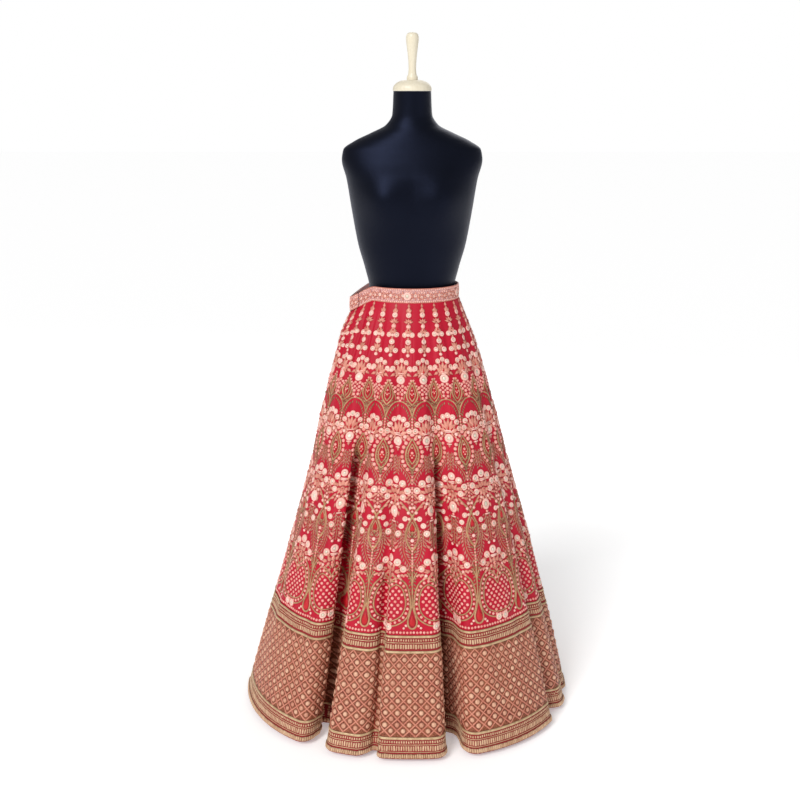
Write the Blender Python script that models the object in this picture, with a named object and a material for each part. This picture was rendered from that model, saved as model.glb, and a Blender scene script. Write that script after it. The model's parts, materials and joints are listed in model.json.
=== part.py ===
"""A lehenga skirt worn by a limbless dress form, in metres.

+Z is up, the wearer faces -Y and +X is the wearer's left. The origin is the centre of
the stand's underside. The skirt is cut as twelve kalis, narrow panels that widen from
the waist to the hem, sewn to a waistband and finished with an embroidered hem border.
A bearing is an angle round the skirt: 0 at centre front, growing towards +X.
"""
import math
from collections import namedtuple

import bmesh
import bpy
import numpy as np

# ---- the cut of the skirt ----
KALIS = 12
KALI_COLUMNS = 12
HEM_HEIGHT = 0.012
SEAM_HEIGHT = 1.074
BAND_TALL = 0.034
SIDE_OPENING = 0.25
SEAM_GAP = 0.0003

# ---- walls ----
CLOTH_WALL = 0.0026
BORDER_WALL = 0.0018
BORDER_GAP = 0.0006
BAND_WALL = 0.0030
BAND_LAP = 0.030
LAP_RISE = 0.030

# Half sizes of the skirt's ring at each height, to the wearer's right (-X) and left
# (+X), and to the front and back. Spare is the cloth there beyond the ring's own length,
# as a share of it: the folds take it up.
Section = namedtuple("Section", "height right left front back spare")
SECTIONS = (
    Section(0.012, 0.442, 0.418, 0.424, 0.436, 0.400),
    Section(0.300, 0.360, 0.346, 0.335, 0.345, 0.290),
    Section(0.620, 0.270, 0.260, 0.238, 0.250, 0.120),
    Section(0.930, 0.192, 0.172, 0.148, 0.160, 0.015),
    Section(1.074, 0.118, 0.118, 0.099, 0.101, 0.000),
)
SQUARENESS = 2.2

# Folds run up the cloth. Place is the bottom of each, measured along the hem from centre
# front in metres of cloth. The cloth turns in over the length ahead of it and out over
# the length past it, by up to these angles at the hem.
Fold = namedtuple("Fold", "place length_in turn_in length_out turn_out")
FOLDS = (
    Fold(-1.735, 0.105, 102, 0.105, 104),
    Fold(-1.530, 0.060, 62, 0.065, 58),
    Fold(-1.220, 0.110, 108, 0.110, 104),
    Fold(-0.950, 0.085, 84, 0.080, 74),
    Fold(-0.372, 0.145, 120, 0.140, 100),
    Fold(-0.120, 0.060, 52, 0.045, 108),
    Fold(0.205, 0.150, 112, 0.150, 112),
    Fold(0.665, 0.065, 62, 0.065, 62),
    Fold(0.800, 0.045, 52, 0.045, 52),
    Fold(1.010, 0.115, 108, 0.115, 106),
    Fold(1.280, 0.065, 64, 0.065, 68),
    Fold(1.560, 0.120, 104, 0.120, 108),
)
HEM_CLOTH = 3.80
STRONGEST_FOLDS = 1.3
HALVINGS = 30
ALONG_STEP = 0.002

# The waist stands slack over the side opening, on the wearer's right.
SLACK_BEARING = -92.0
SLACK_REACH = 41.0
SLACK_OUT = 0.037
SLACK_DROP = 0.036
SLACK_FROM = 0.84

# ---- the rows of the cloth, as fractions of the way up from the hem ----
HEM_TRIM_TOP = 0.048
LATTICE_MIDDLE = 0.138
LATTICE_TOP = 0.228
TOP_TRIM_TOP = 0.268
CLOTH_ROWS = (0.0, HEM_TRIM_TOP, LATTICE_MIDDLE, LATTICE_TOP, TOP_TRIM_TOP,
              0.40, 0.55, 0.72, 0.88, 1.0)

# ---- the dress form, up from its hips to its neck ----
Girth = namedtuple("Girth", "height side front back")
TORSO = (
    Girth(0.800, 0.143, 0.100, 0.110),
    Girth(0.930, 0.148, 0.104, 0.120),
    Girth(1.000, 0.135, 0.098, 0.108),
    Girth(1.060, 0.1145, 0.0890, 0.0890),
    Girth(1.095, 0.1075, 0.0845, 0.0810),
    Girth(1.146, 0.1180, 0.0880, 0.0850),
    Girth(1.207, 0.1350, 0.0960, 0.0940),
    Girth(1.290, 0.1500, 0.1080, 0.1020),
    Girth(1.370, 0.1630, 0.1020, 0.1040),
    Girth(1.415, 0.1740, 0.0840, 0.0980),
    Girth(1.440, 0.1700, 0.0730, 0.0880),
    Girth(1.462, 0.1400, 0.0660, 0.0780),
    Girth(1.480, 0.1020, 0.0600, 0.0690),
    Girth(1.500, 0.0640, 0.0530, 0.0590),
    Girth(1.525, 0.0490, 0.0480, 0.0500),
    Girth(1.580, 0.0460, 0.0460, 0.0460),
)
TORSO_AROUND = 32
TORSO_RINGS = 26
BUST_HEIGHT = 1.325
BUST_APART = 0.078
BUST_OUT = 0.020
BUST_SPREAD = 0.052

# ---- the turned wooden neck cap and its handle, from the outside of the foot up ----
CAP_BOTTOM = 1.5803
CAP_RADIUS = 0.0475
CAP_SIDE = 0.004
CAP_DOME = 0.022
Turn = namedtuple("Turn", "radius height")
HANDLE = (
    Turn(0.0135, 0.0000), Turn(0.0135, 0.0060), Turn(0.0100, 0.0140), Turn(0.0092, 0.0300),
    Turn(0.0110, 0.0560), Turn(0.0142, 0.0820), Turn(0.0156, 0.0960), Turn(0.0140, 0.1060),
    Turn(0.0085, 0.1110),
)
CAP_STEPS = 6
TURNED_SIDES = 24
WELD = 0.00001
SHARP_DEGREES = 35

# ---- the stand ----
BASE_RADIUS = 0.190
BASE_THICK = 0.010
BASE_EDGE = 0.002
COLLAR_RADIUS = 0.022
COLLAR_TALL = 0.045
POLE_RADIUS = 0.0125
BASE_SIDES = 40

BEARINGS = np.linspace(-math.pi, math.pi, 2881)
AROUND = np.linspace(0.0, 1.0, 1901)


def smooth_value(heights, values, at):
    """The values at the heights asked for, on a smooth curve that never overshoots."""
    heights = np.asarray(heights, float)
    values = np.asarray(values, float)
    at = np.clip(at, heights[0], heights[-1])
    steps = np.diff(heights)
    slopes = np.diff(values) / steps
    before, after = slopes[:-1], slopes[1:]
    agree = before * after > 0
    safe_before = np.where(agree, before, 1.0)
    safe_after = np.where(agree, after, 1.0)
    inner = np.where(agree, 2.0 / (1.0 / safe_before + 1.0 / safe_after), 0.0)
    tangents = np.concatenate(([slopes[0]], inner, [slopes[-1]]))
    low = np.clip(np.searchsorted(heights, at, side="right") - 1, 0, len(steps) - 1)
    width = steps[low]
    t = (at - heights[low]) / width
    start = (2 * t ** 3 - 3 * t ** 2 + 1) * values[low]
    start_slope = (t ** 3 - 2 * t ** 2 + t) * width * tangents[low]
    end = (3 * t ** 2 - 2 * t ** 3) * values[low + 1]
    end_slope = (t ** 3 - t ** 2) * width * tangents[low + 1]
    return start + start_slope + end + end_slope


def ease(t):
    """0 below 0, 1 above 1, and a smooth rise between them."""
    t = np.clip(t, 0.0, 1.0)
    return t * t * (3.0 - 2.0 * t)


def bump(bearings, centre, reach):
    """1 at the centre bearing, easing to 0 at its reach on both sides, all in degrees."""
    away = (np.degrees(bearings) - centre + 180.0) % 360.0 - 180.0
    return 0.5 + 0.5 * np.cos(np.pi * np.clip(away / reach, -1.0, 1.0))


def unit(vectors):
    """The vectors, each one metre long."""
    return vectors / np.linalg.norm(vectors, axis=-1, keepdims=True)


def run_along(points):
    """How far each point lies along a line of points."""
    return np.concatenate(([0.0], np.cumsum(np.linalg.norm(np.diff(points, axis=0), axis=1))))


def bare_ring(row):
    """The ring that the cloth hangs on at one row, without its folds, by bearing."""
    height = HEM_HEIGHT + (SEAM_HEIGHT - HEM_HEIGHT) * row
    half = {side: section_value(side, height) for side in ("right", "left", "front", "back")}
    sine, cosine = np.sin(BEARINGS), np.cos(BEARINGS)
    x = np.where(sine < 0, half["right"], half["left"]) * sine
    y = -np.where(cosine > 0, half["front"], half["back"]) * cosine
    power = SQUARENESS + (2.0 - SQUARENESS) * row
    square = (np.abs(sine) ** power + np.abs(cosine) ** power) ** (-1.0 / power)
    slack = bump(BEARINGS, SLACK_BEARING, SLACK_REACH) * ease((row - SLACK_FROM) / (1 - SLACK_FROM))
    radius = np.hypot(x, y)
    grow = square + SLACK_OUT * slack / radius
    return np.stack([x * grow, y * grow, height - SLACK_DROP * slack], axis=1)


def section_value(column, height):
    """One column of the sections, at any height."""
    heights = [section.height for section in SECTIONS]
    return float(smooth_value(heights, [getattr(s, column) for s in SECTIONS], height))


def fold_headings(strength):
    """The angle by which the cloth turns in from its ring, all the way round."""
    place = (AROUND - 0.5) * HEM_CLOTH
    heading = np.zeros_like(place)
    for fold in FOLDS:
        past = place - fold.place
        going_in = np.clip(past / fold.length_in, -1.0, 0.0)
        coming_out = np.clip(past / fold.length_out, 0.0, 1.0)
        heading -= math.radians(fold.turn_in) * np.sin(np.pi * going_in)
        heading -= math.radians(fold.turn_out) * np.sin(np.pi * coming_out)
    return strength * heading


def skirt_ring(row):
    """The cloth's outer face at one row: a point for each fraction of the way round.

    The cloth doesn't stretch: it turns in and out by its headings, as strongly as takes
    up all of its spare length.
    """
    bare = bare_ring(row)
    run = run_along(bare)
    height = HEM_HEIGHT + (SEAM_HEIGHT - HEM_HEIGHT) * row
    length = run[-1] * (1.0 + section_value("spare", height))
    low, high = 0.0, STRONGEST_FOLDS
    for _ in range(HALVINGS):
        strength = (low + high) / 2
        reach = length * np.cos(fold_headings(strength)[:-1]).mean()
        low, high = (strength, high) if reach > run[-1] else (low, strength)
    step = length * np.diff(AROUND)
    heading = fold_headings(strength)[:-1]
    forward = np.concatenate(([0.0], np.cumsum(step * np.cos(heading))))
    inward = np.concatenate(([0.0], np.cumsum(step * np.sin(heading))))
    place = (AROUND - 0.5) * HEM_CLOTH
    for fold in FOLDS:
        first = fold.place - fold.length_in
        through = (place - first) / (fold.length_in + fold.length_out)
        left_over = np.interp([first, fold.place + fold.length_out], place, inward)
        inward = inward - (left_over[1] - left_over[0]) * ease(through)
    middle = len(AROUND) // 2
    front = np.interp(0.0, BEARINGS, run)
    wanted = (front + forward - forward[middle]) % run[-1]
    ahead = (wanted + ALONG_STEP) % run[-1]
    behind = (wanted - ALONG_STEP) % run[-1]
    here, there, back = (np.stack([np.interp(at, run, bare[:, axis]) for axis in range(3)], axis=1)
                         for at in (wanted, ahead, behind))
    along = unit((there - back) * [1.0, 1.0, 0.0])
    inside = np.stack([-along[:, 1], along[:, 0], np.zeros(len(along))], axis=1)
    return here + inside * (inward - inward[middle])[:, None]


def along_ring(ring, around):
    """Points of a ring at fractions of the way round, 0.5 at centre front."""
    around = np.asarray(around) % 1.0
    return np.stack([np.interp(around, AROUND, ring[:, axis]) for axis in range(3)], axis=1)


def grid_faces(rows, columns, closed):
    """Triangles over a grid of points, numbered row by row, seen from outside."""
    wide = columns if closed else columns + 1
    faces = []
    for r in range(rows):
        for c in range(columns):
            a, b = r * wide + c, r * wide + (c + 1) % wide
            d, e = a + wide, b + wide
            faces.append((a, b, e))
            faces.append((a, e, d))
    return faces


def moved_out(points, closed, distance):
    """A grid of points moved out so that each of its triangles moves by the distance."""
    rows, wide = points.shape[0] - 1, points.shape[1]
    faces = np.array(grid_faces(rows, wide if closed else wide - 1, closed))
    flat = points.reshape(-1, 3)
    a, b, c = (flat[faces[:, corner]] for corner in range(3))
    normals = unit(np.cross(b - a, c - a))
    sums = np.zeros_like(flat)
    for corner in range(3):
        np.add.at(sums, faces[:, corner], normals)
    outward = unit(sums)
    least = np.ones(len(flat))
    for corner in range(3):
        facing = (outward[faces[:, corner]] * normals).sum(axis=1)
        np.minimum.at(least, faces[:, corner], facing)
    moved = flat + outward * (distance / np.maximum(least, 0.5))[:, None]
    return moved.reshape(points.shape)


def cloth_layer(distance):
    """The whole cloth as a closed grid of points, moved out from its face."""
    around = SIDE_OPENING + np.arange(KALIS * KALI_COLUMNS) / (KALIS * KALI_COLUMNS)
    face = np.array([along_ring(skirt_ring(row), around) for row in CLOTH_ROWS])
    return moved_out(face, True, distance)


def step_back(edge, neighbour, distance):
    """An edge of a grid, moved towards the points beside it to leave a gap at a seam."""
    edge += distance * unit(neighbour - edge)


def edge_pairs(rows, columns, closed):
    """The grid's open edges, as pairs of points in the order of the outer faces."""
    wide = columns if closed else columns + 1
    pairs = []
    for c in range(columns):
        right = (c + 1) % wide
        pairs.append((c, right))
        pairs.append((rows * wide + right, rows * wide + c))
    if not closed:
        for r in range(rows):
            pairs.append(((r + 1) * wide, r * wide))
            pairs.append((r * wide + columns, (r + 1) * wide + columns))
    return pairs


def wall_mesh(name, outer, inner, closed):
    """A closed wall between two grids of points."""
    rows, wide = outer.shape[0] - 1, outer.shape[1]
    columns = wide if closed else wide - 1
    count = outer.shape[0] * wide
    outside = grid_faces(rows, columns, closed)
    faces = outside + [tuple(count + v for v in reversed(face)) for face in outside]
    for a, b in edge_pairs(rows, columns, closed):
        faces.append((b, a, count + a))
        faces.append((b, count + a, count + b))
    mesh = bpy.data.meshes.new(name)
    points = np.concatenate([outer.reshape(-1, 3), inner.reshape(-1, 3)])
    mesh.from_pydata([tuple(map(float, p)) for p in points], [], faces)
    mesh.validate()
    return mesh


def finish(name, colour, roughness, metallic):
    """A plain material: its colour is linear red, green and blue."""
    material = bpy.data.materials.new(name)
    material.use_nodes = True
    shader = material.node_tree.nodes["Principled BSDF"]
    shader.inputs["Base Color"].default_value = (*colour, 1.0)
    shader.inputs["Roughness"].default_value = roughness
    shader.inputs["Metallic"].default_value = metallic
    return material


def place(name, mesh, material):
    """One named object for one piece."""
    mesh.materials.append(material)
    piece = bpy.data.objects.new(name, mesh)
    bpy.context.collection.objects.link(piece)
    return piece


def remove_old_objects():
    """An empty scene to model in."""
    for old in list(bpy.data.objects):
        bpy.data.objects.remove(old, do_unlink=True)


def make_kalis(silk):
    """The twelve panels of the skirt, side by side, their first seam at the side opening."""
    layers = [cloth_layer(0.0), cloth_layer(-CLOTH_WALL)]
    for number in range(KALIS):
        columns = np.arange(number * KALI_COLUMNS, (number + 1) * KALI_COLUMNS + 1)
        walls = [layer[:, columns % layer.shape[1]] for layer in layers]
        for wall in walls:
            step_back(wall[:, 0], wall[:, 1], SEAM_GAP)
            step_back(wall[:, -1], wall[:, -2], SEAM_GAP)
        name = f"kali_{number + 1:02d}"
        place(name, wall_mesh(name, *walls, closed=False), silk)


def make_border(strips):
    """The strips of the hem border, each all round the skirt and lying on the kalis."""
    layers = [cloth_layer(BORDER_GAP + BORDER_WALL), cloth_layer(BORDER_GAP)]
    for name, bottom, top, material in strips:
        first, last = CLOTH_ROWS.index(bottom), CLOTH_ROWS.index(top)
        walls = [layer[first:last + 1].copy() for layer in layers]
        if first > 0:
            for wall in walls:
                step_back(wall[0], wall[1], BORDER_GAP)
        place(name, wall_mesh(name, *walls, closed=True), material)


def make_waistband(material):
    """The band, whose front end laps over its back end at the side opening."""
    ring = skirt_ring(1.0)
    length = run_along(ring)[-1]
    columns = KALIS * KALI_COLUMNS // 2
    around = np.linspace(SIDE_OPENING, SIDE_OPENING + 1.0 + BAND_LAP / length, columns + 1)
    foot = along_ring(ring, around)
    head_rise = np.array([0.0, 0.0, BAND_TALL])
    upright = np.array([foot, foot + head_rise])
    outward = moved_out(upright, False, 1.0)[0] - foot
    lap_start = SIDE_OPENING + 1.0 - LAP_RISE / length
    rise = ease((around - lap_start) * length / LAP_RISE)
    foot = foot + outward * (rise * (BAND_WALL + 2 * SEAM_GAP))[:, None]
    foot[:, 2] += SEAM_GAP
    outer = np.array([foot, foot + head_rise])
    inner = moved_out(outer, False, -BAND_WALL)
    place("waistband", wall_mesh("waistband", outer, inner, closed=False), material)


def make_torso(material):
    """The form's body, closed flat at its foot and at the top of its neck."""
    heights = [girth.height for girth in TORSO]
    levels = smooth_value(np.linspace(0, 1, len(heights)), heights,
                          np.linspace(0, 1, TORSO_RINGS))
    turn = np.linspace(0, 2 * np.pi, TORSO_AROUND, endpoint=False)
    rings = []
    for level in levels:
        side = smooth_value(heights, [g.side for g in TORSO], level)
        front = smooth_value(heights, [g.front for g in TORSO], level)
        back = smooth_value(heights, [g.back for g in TORSO], level)
        x = side * np.sin(turn)
        y = -np.where(np.cos(turn) > 0, front, back) * np.cos(turn)
        lobe = np.exp(-((np.abs(x) - BUST_APART) ** 2 + (level - BUST_HEIGHT) ** 2)
                      / BUST_SPREAD ** 2)
        y = y - BUST_OUT * lobe * ease(np.cos(turn) * 2.0)
        rings.append(np.stack([x, y, np.full_like(x, level)], axis=1))
    points = np.concatenate(rings)
    faces = grid_faces(len(levels) - 1, TORSO_AROUND, closed=True)
    last = len(points) - TORSO_AROUND
    faces.append(tuple(reversed(range(TORSO_AROUND))))
    faces.append(tuple(range(last, last + TORSO_AROUND)))
    mesh = bpy.data.meshes.new("torso")
    mesh.from_pydata([tuple(map(float, p)) for p in points], [], faces)
    mesh.validate()
    mesh.shade_smooth()
    mesh.set_sharp_from_angle(angle=math.radians(SHARP_DEGREES))
    place("torso", mesh, material)


def turned_mesh(name, profile, sides):
    """A solid turned about Z from a profile of (radius, height), from its foot up."""
    shape = bmesh.new()
    corners = [shape.verts.new((radius, 0.0, height)) for radius, height in profile]
    edges = [shape.edges.new(pair) for pair in zip(corners, corners[1:])]
    bmesh.ops.spin(shape, geom=corners + edges, cent=(0, 0, 0), axis=(0, 0, 1),
                   angle=2 * math.pi, steps=sides, use_merge=True)
    bmesh.ops.remove_doubles(shape, verts=shape.verts, dist=WELD)
    bmesh.ops.holes_fill(shape, edges=[e for e in shape.edges if e.is_boundary], sides=0)
    bmesh.ops.recalc_face_normals(shape, faces=shape.faces)
    mesh = bpy.data.meshes.new(name)
    shape.to_mesh(mesh)
    shape.free()
    mesh.shade_smooth()
    mesh.set_sharp_from_angle(angle=math.radians(SHARP_DEGREES))
    return mesh


def make_neck_cap(material):
    """The domed cap and the handle on it, turned from one piece of wood."""
    profile = [(CAP_RADIUS, CAP_BOTTOM), (CAP_RADIUS, CAP_BOTTOM + CAP_SIDE)]
    foot = HANDLE[0]
    for step in range(1, CAP_STEPS + 1):
        angle = math.pi / 2 * step / CAP_STEPS
        radius = foot.radius + (CAP_RADIUS - foot.radius) * math.cos(angle)
        profile.append((radius, CAP_BOTTOM + CAP_SIDE + CAP_DOME * math.sin(angle)))
    top = CAP_BOTTOM + CAP_SIDE + CAP_DOME
    profile += [(turn.radius, top + turn.height) for turn in HANDLE[1:]]
    place("neck_cap", turned_mesh("neck_cap", profile, TURNED_SIDES), material)


def make_stand(steel):
    """The pole under the form and the round base that it stands on."""
    base = [(BASE_RADIUS - BASE_EDGE, 0.0), (BASE_RADIUS, BASE_EDGE),
            (BASE_RADIUS, BASE_THICK - BASE_EDGE), (BASE_RADIUS - BASE_EDGE, BASE_THICK),
            (COLLAR_RADIUS, BASE_THICK), (COLLAR_RADIUS, BASE_THICK + COLLAR_TALL)]
    place("stand_base", turned_mesh("stand_base", base, BASE_SIDES), steel)
    foot = BASE_THICK + COLLAR_TALL + SEAM_GAP
    head = TORSO[0].height - SEAM_GAP
    pole = [(POLE_RADIUS, foot), (POLE_RADIUS, head)]
    place("stand_pole", turned_mesh("stand_pole", pole, TURNED_SIDES), steel)


def main():
    remove_old_objects()
    silk = finish("red_silk", (0.62, 0.045, 0.075), 0.55, 0.0)
    lattice = finish("border_lattice", (0.47, 0.16, 0.10), 0.60, 0.0)
    trim = finish("gold_trim", (0.52, 0.30, 0.17), 0.45, 0.3)
    band = finish("waistband_gold", (0.62, 0.28, 0.20), 0.50, 0.2)
    jersey = finish("black_jersey", (0.010, 0.014, 0.022), 0.55, 0.0)
    wood = finish("turned_wood", (0.80, 0.68, 0.45), 0.45, 0.0)
    steel = finish("black_steel", (0.020, 0.020, 0.022), 0.40, 0.6)
    make_kalis(silk)
    make_border((
        ("hem_trim", 0.0, HEM_TRIM_TOP, trim),
        ("border_lattice", HEM_TRIM_TOP, LATTICE_TOP, lattice),
        ("top_trim", LATTICE_TOP, TOP_TRIM_TOP, trim),
    ))
    make_waistband(band)
    make_torso(jersey)
    make_neck_cap(wood)
    make_stand(steel)


main()
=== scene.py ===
# %% [markdown]
# # A lehenga skirt on a dress form
# A lehenga is a floor-length flared skirt from South Asia. This one is red raw silk, cut as
# twelve kalis: narrow panels that widen from the waist to the hem. It hangs on a limbless
# dress form of black jersey with a turned wooden neck cap. The script empties the default
# scene and loads the plain part. Every piece made here has to stay at that size.

# %% Load the plain part
import json
import math

import bpy
import numpy as np
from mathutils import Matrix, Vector

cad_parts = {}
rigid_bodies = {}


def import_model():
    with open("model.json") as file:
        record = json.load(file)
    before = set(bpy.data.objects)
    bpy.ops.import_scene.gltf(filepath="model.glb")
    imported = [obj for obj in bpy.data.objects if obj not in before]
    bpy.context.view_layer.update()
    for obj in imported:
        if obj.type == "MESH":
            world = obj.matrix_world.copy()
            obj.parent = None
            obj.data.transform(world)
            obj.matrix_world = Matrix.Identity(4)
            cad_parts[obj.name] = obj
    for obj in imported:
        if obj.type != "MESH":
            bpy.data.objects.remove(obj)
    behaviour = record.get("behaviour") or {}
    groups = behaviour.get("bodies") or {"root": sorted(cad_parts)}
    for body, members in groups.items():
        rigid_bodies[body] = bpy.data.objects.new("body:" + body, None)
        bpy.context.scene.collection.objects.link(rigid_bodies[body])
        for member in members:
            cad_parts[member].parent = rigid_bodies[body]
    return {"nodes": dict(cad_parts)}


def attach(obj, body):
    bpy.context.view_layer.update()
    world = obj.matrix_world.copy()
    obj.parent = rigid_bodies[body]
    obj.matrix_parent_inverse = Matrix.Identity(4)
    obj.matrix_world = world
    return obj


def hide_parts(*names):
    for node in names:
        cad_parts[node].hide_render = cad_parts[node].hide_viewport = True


for old in list(bpy.data.objects):
    bpy.data.objects.remove(old, do_unlink=True)
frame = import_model()
bpy.ops.object.select_all(action="DESELECT")
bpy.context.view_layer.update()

# %% [markdown]
# ## Camera, floor and lights
# The camera stands a little over three metres in front, at about the height of the neck, and
# looks down a little, so the hem's far side stays hidden and the floor shows under it. The
# lens is a short portrait lens. A soft sun is the key light, so the whole floor is evenly
# lit, and two large lamps open up the shadows. The floor glows a little, like a lit backdrop,
# and the world shows the same pale tone, so they meet without an edge. The world lights less
# than it shows, or else the folds would have no dark flank.

# %% Camera
CAMERA_PLACE = (-0.03, -3.04, 1.58)
LOOKS_DOWN = 14.36
FILM_WIDTH = 36
LENS = 54.315
camera_data = bpy.data.cameras.new("camera")
camera = bpy.data.objects.new("camera", camera_data)
bpy.context.scene.collection.objects.link(camera)
bpy.context.scene.camera = camera
camera.location = CAMERA_PLACE
camera.rotation_euler = (math.radians(90 - LOOKS_DOWN), 0, 0)
camera_data.sensor_width = FILM_WIDTH
camera_data.lens = LENS
bpy.context.scene.view_settings.view_transform = "Standard"
print("lens:", round(camera_data.lens, 1), "mm")

# %% The floor
FLOOR_SIZE = 60
FLOOR_PAINT = (0.93, 0.93, 0.93, 1)
FLOOR_GLOW = 0.33
bpy.ops.mesh.primitive_plane_add(size=FLOOR_SIZE, location=(0, 0, 0))
floor = bpy.context.object
floor.name = "floor"
floor_paint = bpy.data.materials.new("floor_paint")
floor_paint.use_nodes = True
floor_shader = floor_paint.node_tree.nodes["Principled BSDF"]
floor_shader.inputs["Base Color"].default_value = FLOOR_PAINT
floor_shader.inputs["Roughness"].default_value = 0.9
floor_shader.inputs["Emission Color"].default_value = (1, 1, 1, 1)
floor_shader.inputs["Emission Strength"].default_value = FLOOR_GLOW
floor.data.materials.append(floor_paint)
print("floor:", FLOOR_SIZE, "m across")

# %% The world and the lamps
WORLD_LIGHT = 0.31
WORLD_SEEN = 1.0
world = bpy.data.worlds.new("studio")
bpy.context.scene.world = world
world.use_nodes = True
sky = world.node_tree.nodes["Background"]
sky.inputs["Color"].default_value = (1, 1, 1, 1)
seen = world.node_tree.nodes.new("ShaderNodeLightPath")
share = world.node_tree.nodes.new("ShaderNodeMath")
share.operation = "MULTIPLY_ADD"
share.inputs[1].default_value = WORLD_SEEN - WORLD_LIGHT
share.inputs[2].default_value = WORLD_LIGHT
world.node_tree.links.new(seen.outputs["Is Camera Ray"], share.inputs[0])
world.node_tree.links.new(share.outputs[0], sky.inputs["Strength"])


def lamp(name, kind, place, aim, power, size):
    """A lamp that shines from a place towards a point. A sun's size is in degrees."""
    data = bpy.data.lights.new(name, kind)
    data.energy = power
    if kind == "SUN":
        data.angle = math.radians(size)
    else:
        data.size = size
    light = bpy.data.objects.new(name, data)
    light.location = place
    light.rotation_euler = (Vector(aim) - Vector(place)).to_track_quat("-Z", "Y").to_euler()
    bpy.context.scene.collection.objects.link(light)


lamp("key", "SUN", (-1.5, -2.7, 2.9), (0, 0, 0.6), 2.2, 24)
lamp("fill", "AREA", (2.6, -2.6, 1.6), (0, 0, 0.7), 12, 2.6)
lamp("back", "AREA", (0.8, 3.0, 2.6), (0, 0, 0.9), 30, 2.6)

# %% [markdown]
# ## Writing shaders as sums
# A finish is easier to read as a sum than as a chain of nodes. This class wraps one output of
# a shader node, so that `1 - mask * 0.5` adds its Math nodes by itself. Every other node comes
# from one method, which takes the node's type, its settings and what goes into its sockets.

# %% The shader helper


class Value:
    """An output of a shader node that can be used in sums."""

    def __init__(self, tree, socket):
        self.tree = tree
        self.socket = socket

    def add(self, kind, settings, inputs, output=0):
        """A new node: its settings are set first, then its sockets."""
        node = self.tree.nodes.new(kind)
        for name, setting in settings.items():
            setattr(node, name, setting)
        for name, value in inputs.items():
            if isinstance(value, Value):
                self.tree.links.new(value.socket, node.inputs[name])
            else:
                node.inputs[name].default_value = value
        return Value(self.tree, node.outputs[output])

    def math(self, operation, first, second=0.0):
        return self.add("ShaderNodeMath", {"operation": operation}, {0: first, 1: second})

    def __add__(self, other):
        return self.math("ADD", self, other)

    def __sub__(self, other):
        return self.math("SUBTRACT", self, other)

    def __rsub__(self, other):
        return self.math("SUBTRACT", other, self)

    def __mul__(self, other):
        return self.math("MULTIPLY", self, other)

    __radd__ = __add__
    __rmul__ = __mul__

    def contrast(self, strength, middle=0.5):
        """Noise, spread out from its middle: darker darks and lighter lights."""
        return (self - 0.5) * strength + middle

    def noise(self, scale, detail=2.0, rough=0.5):
        """Cloudy noise from 0 to 1, at these coordinates."""
        return self.add("ShaderNodeTexNoise", {}, {"Vector": self, "Scale": scale,
                        "Detail": detail, "Roughness": rough})

    def stretched(self, sizes):
        """These coordinates, multiplied along each axis."""
        return self.add("ShaderNodeMapping", {}, {"Vector": self, "Scale": sizes})

    def blend(self, first, second):
        """The first colour where this is 0, and the second where it is 1."""
        return self.add("ShaderNodeMix", {"data_type": "RGBA"}, {0: self, 6: first, 7: second}, 2)


print("what a value can do:", ", ".join(name for name in vars(Value) if name[0] != "_"))

# %% Colours, finishes and bumps


def linear(red, green, blue):
    """A colour of 0 to 255 steps as the shader's own linear numbers."""
    channels = [v / 255 for v in (red, green, blue)]
    curve = [v / 12.92 if v <= 0.04045 else ((v + 0.055) / 1.055) ** 2.4 for v in channels]
    return (*curve, 1.0)


def start_finish(name, roughness=0.5, metallic=0.0, sheen=0.0, sheen_tint=(1, 1, 1, 1),
                 specular=0.5):
    """A new material, and its Object and UV coordinates as values."""
    material = bpy.data.materials.new(name)
    material.use_nodes = True
    tree = material.node_tree
    shader = tree.nodes["Principled BSDF"]
    shader.inputs["Roughness"].default_value = roughness
    shader.inputs["Metallic"].default_value = metallic
    shader.inputs["Sheen Weight"].default_value = sheen
    shader.inputs["Sheen Tint"].default_value = sheen_tint
    shader.inputs["Sheen Roughness"].default_value = 0.4
    shader.inputs["Specular IOR Level"].default_value = specular
    places = tree.nodes.new("ShaderNodeTexCoord")
    return material, Value(tree, places.outputs["Object"]), Value(tree, places.outputs["UV"])


def colour_it(material, colour):
    """Give the finish its base colour, which changes over the surface."""
    shader = material.node_tree.nodes["Principled BSDF"]
    material.node_tree.links.new(colour.socket, shader.inputs["Base Color"])


def bump_it(material, height, metres):
    """Raise the finish by a height of 0 to 1 times so many metres."""
    shader = material.node_tree.nodes["Principled BSDF"]
    bump = height.add("ShaderNodeBump", {}, {"Height": height, "Distance": metres,
                      "Strength": 1.0})
    material.node_tree.links.new(bump.socket, shader.inputs["Normal"])


print("a mid grey in linear numbers:", round(linear(128, 128, 128)[0], 3))

# %% [markdown]
# ## The cloth as one surface
# Worn cloth bends but it doesn't stretch. So each level of the skirt starts as a bare ring
# round the form, and the cloth there is longer than that ring. The spare length is taken up
# by folds: along the cloth, the heading turns in and then out again, as strongly as closes
# the ring. The same numbers shaped the plain part, so both have the same folds. `around`
# runs from 0 to 1 round the cloth with 0.5 at the centre front, and `slant` is the length
# down the cloth from the waist seam in metres.

# %% The skirt's sizes
HEM_HEIGHT = 0.012
SEAM_HEIGHT = 1.074
SQUARENESS = 2.2
HEM_CLOTH = 3.80
SIDE_OPENING = 0.25
KALIS = 12

# rows where the border's strips meet, from 0 at the hem to 1 at the waist seam
HEM_TRIM_ROW = 0.048
LATTICE_ROW = 0.228
TOP_TRIM_ROW = 0.268

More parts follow.
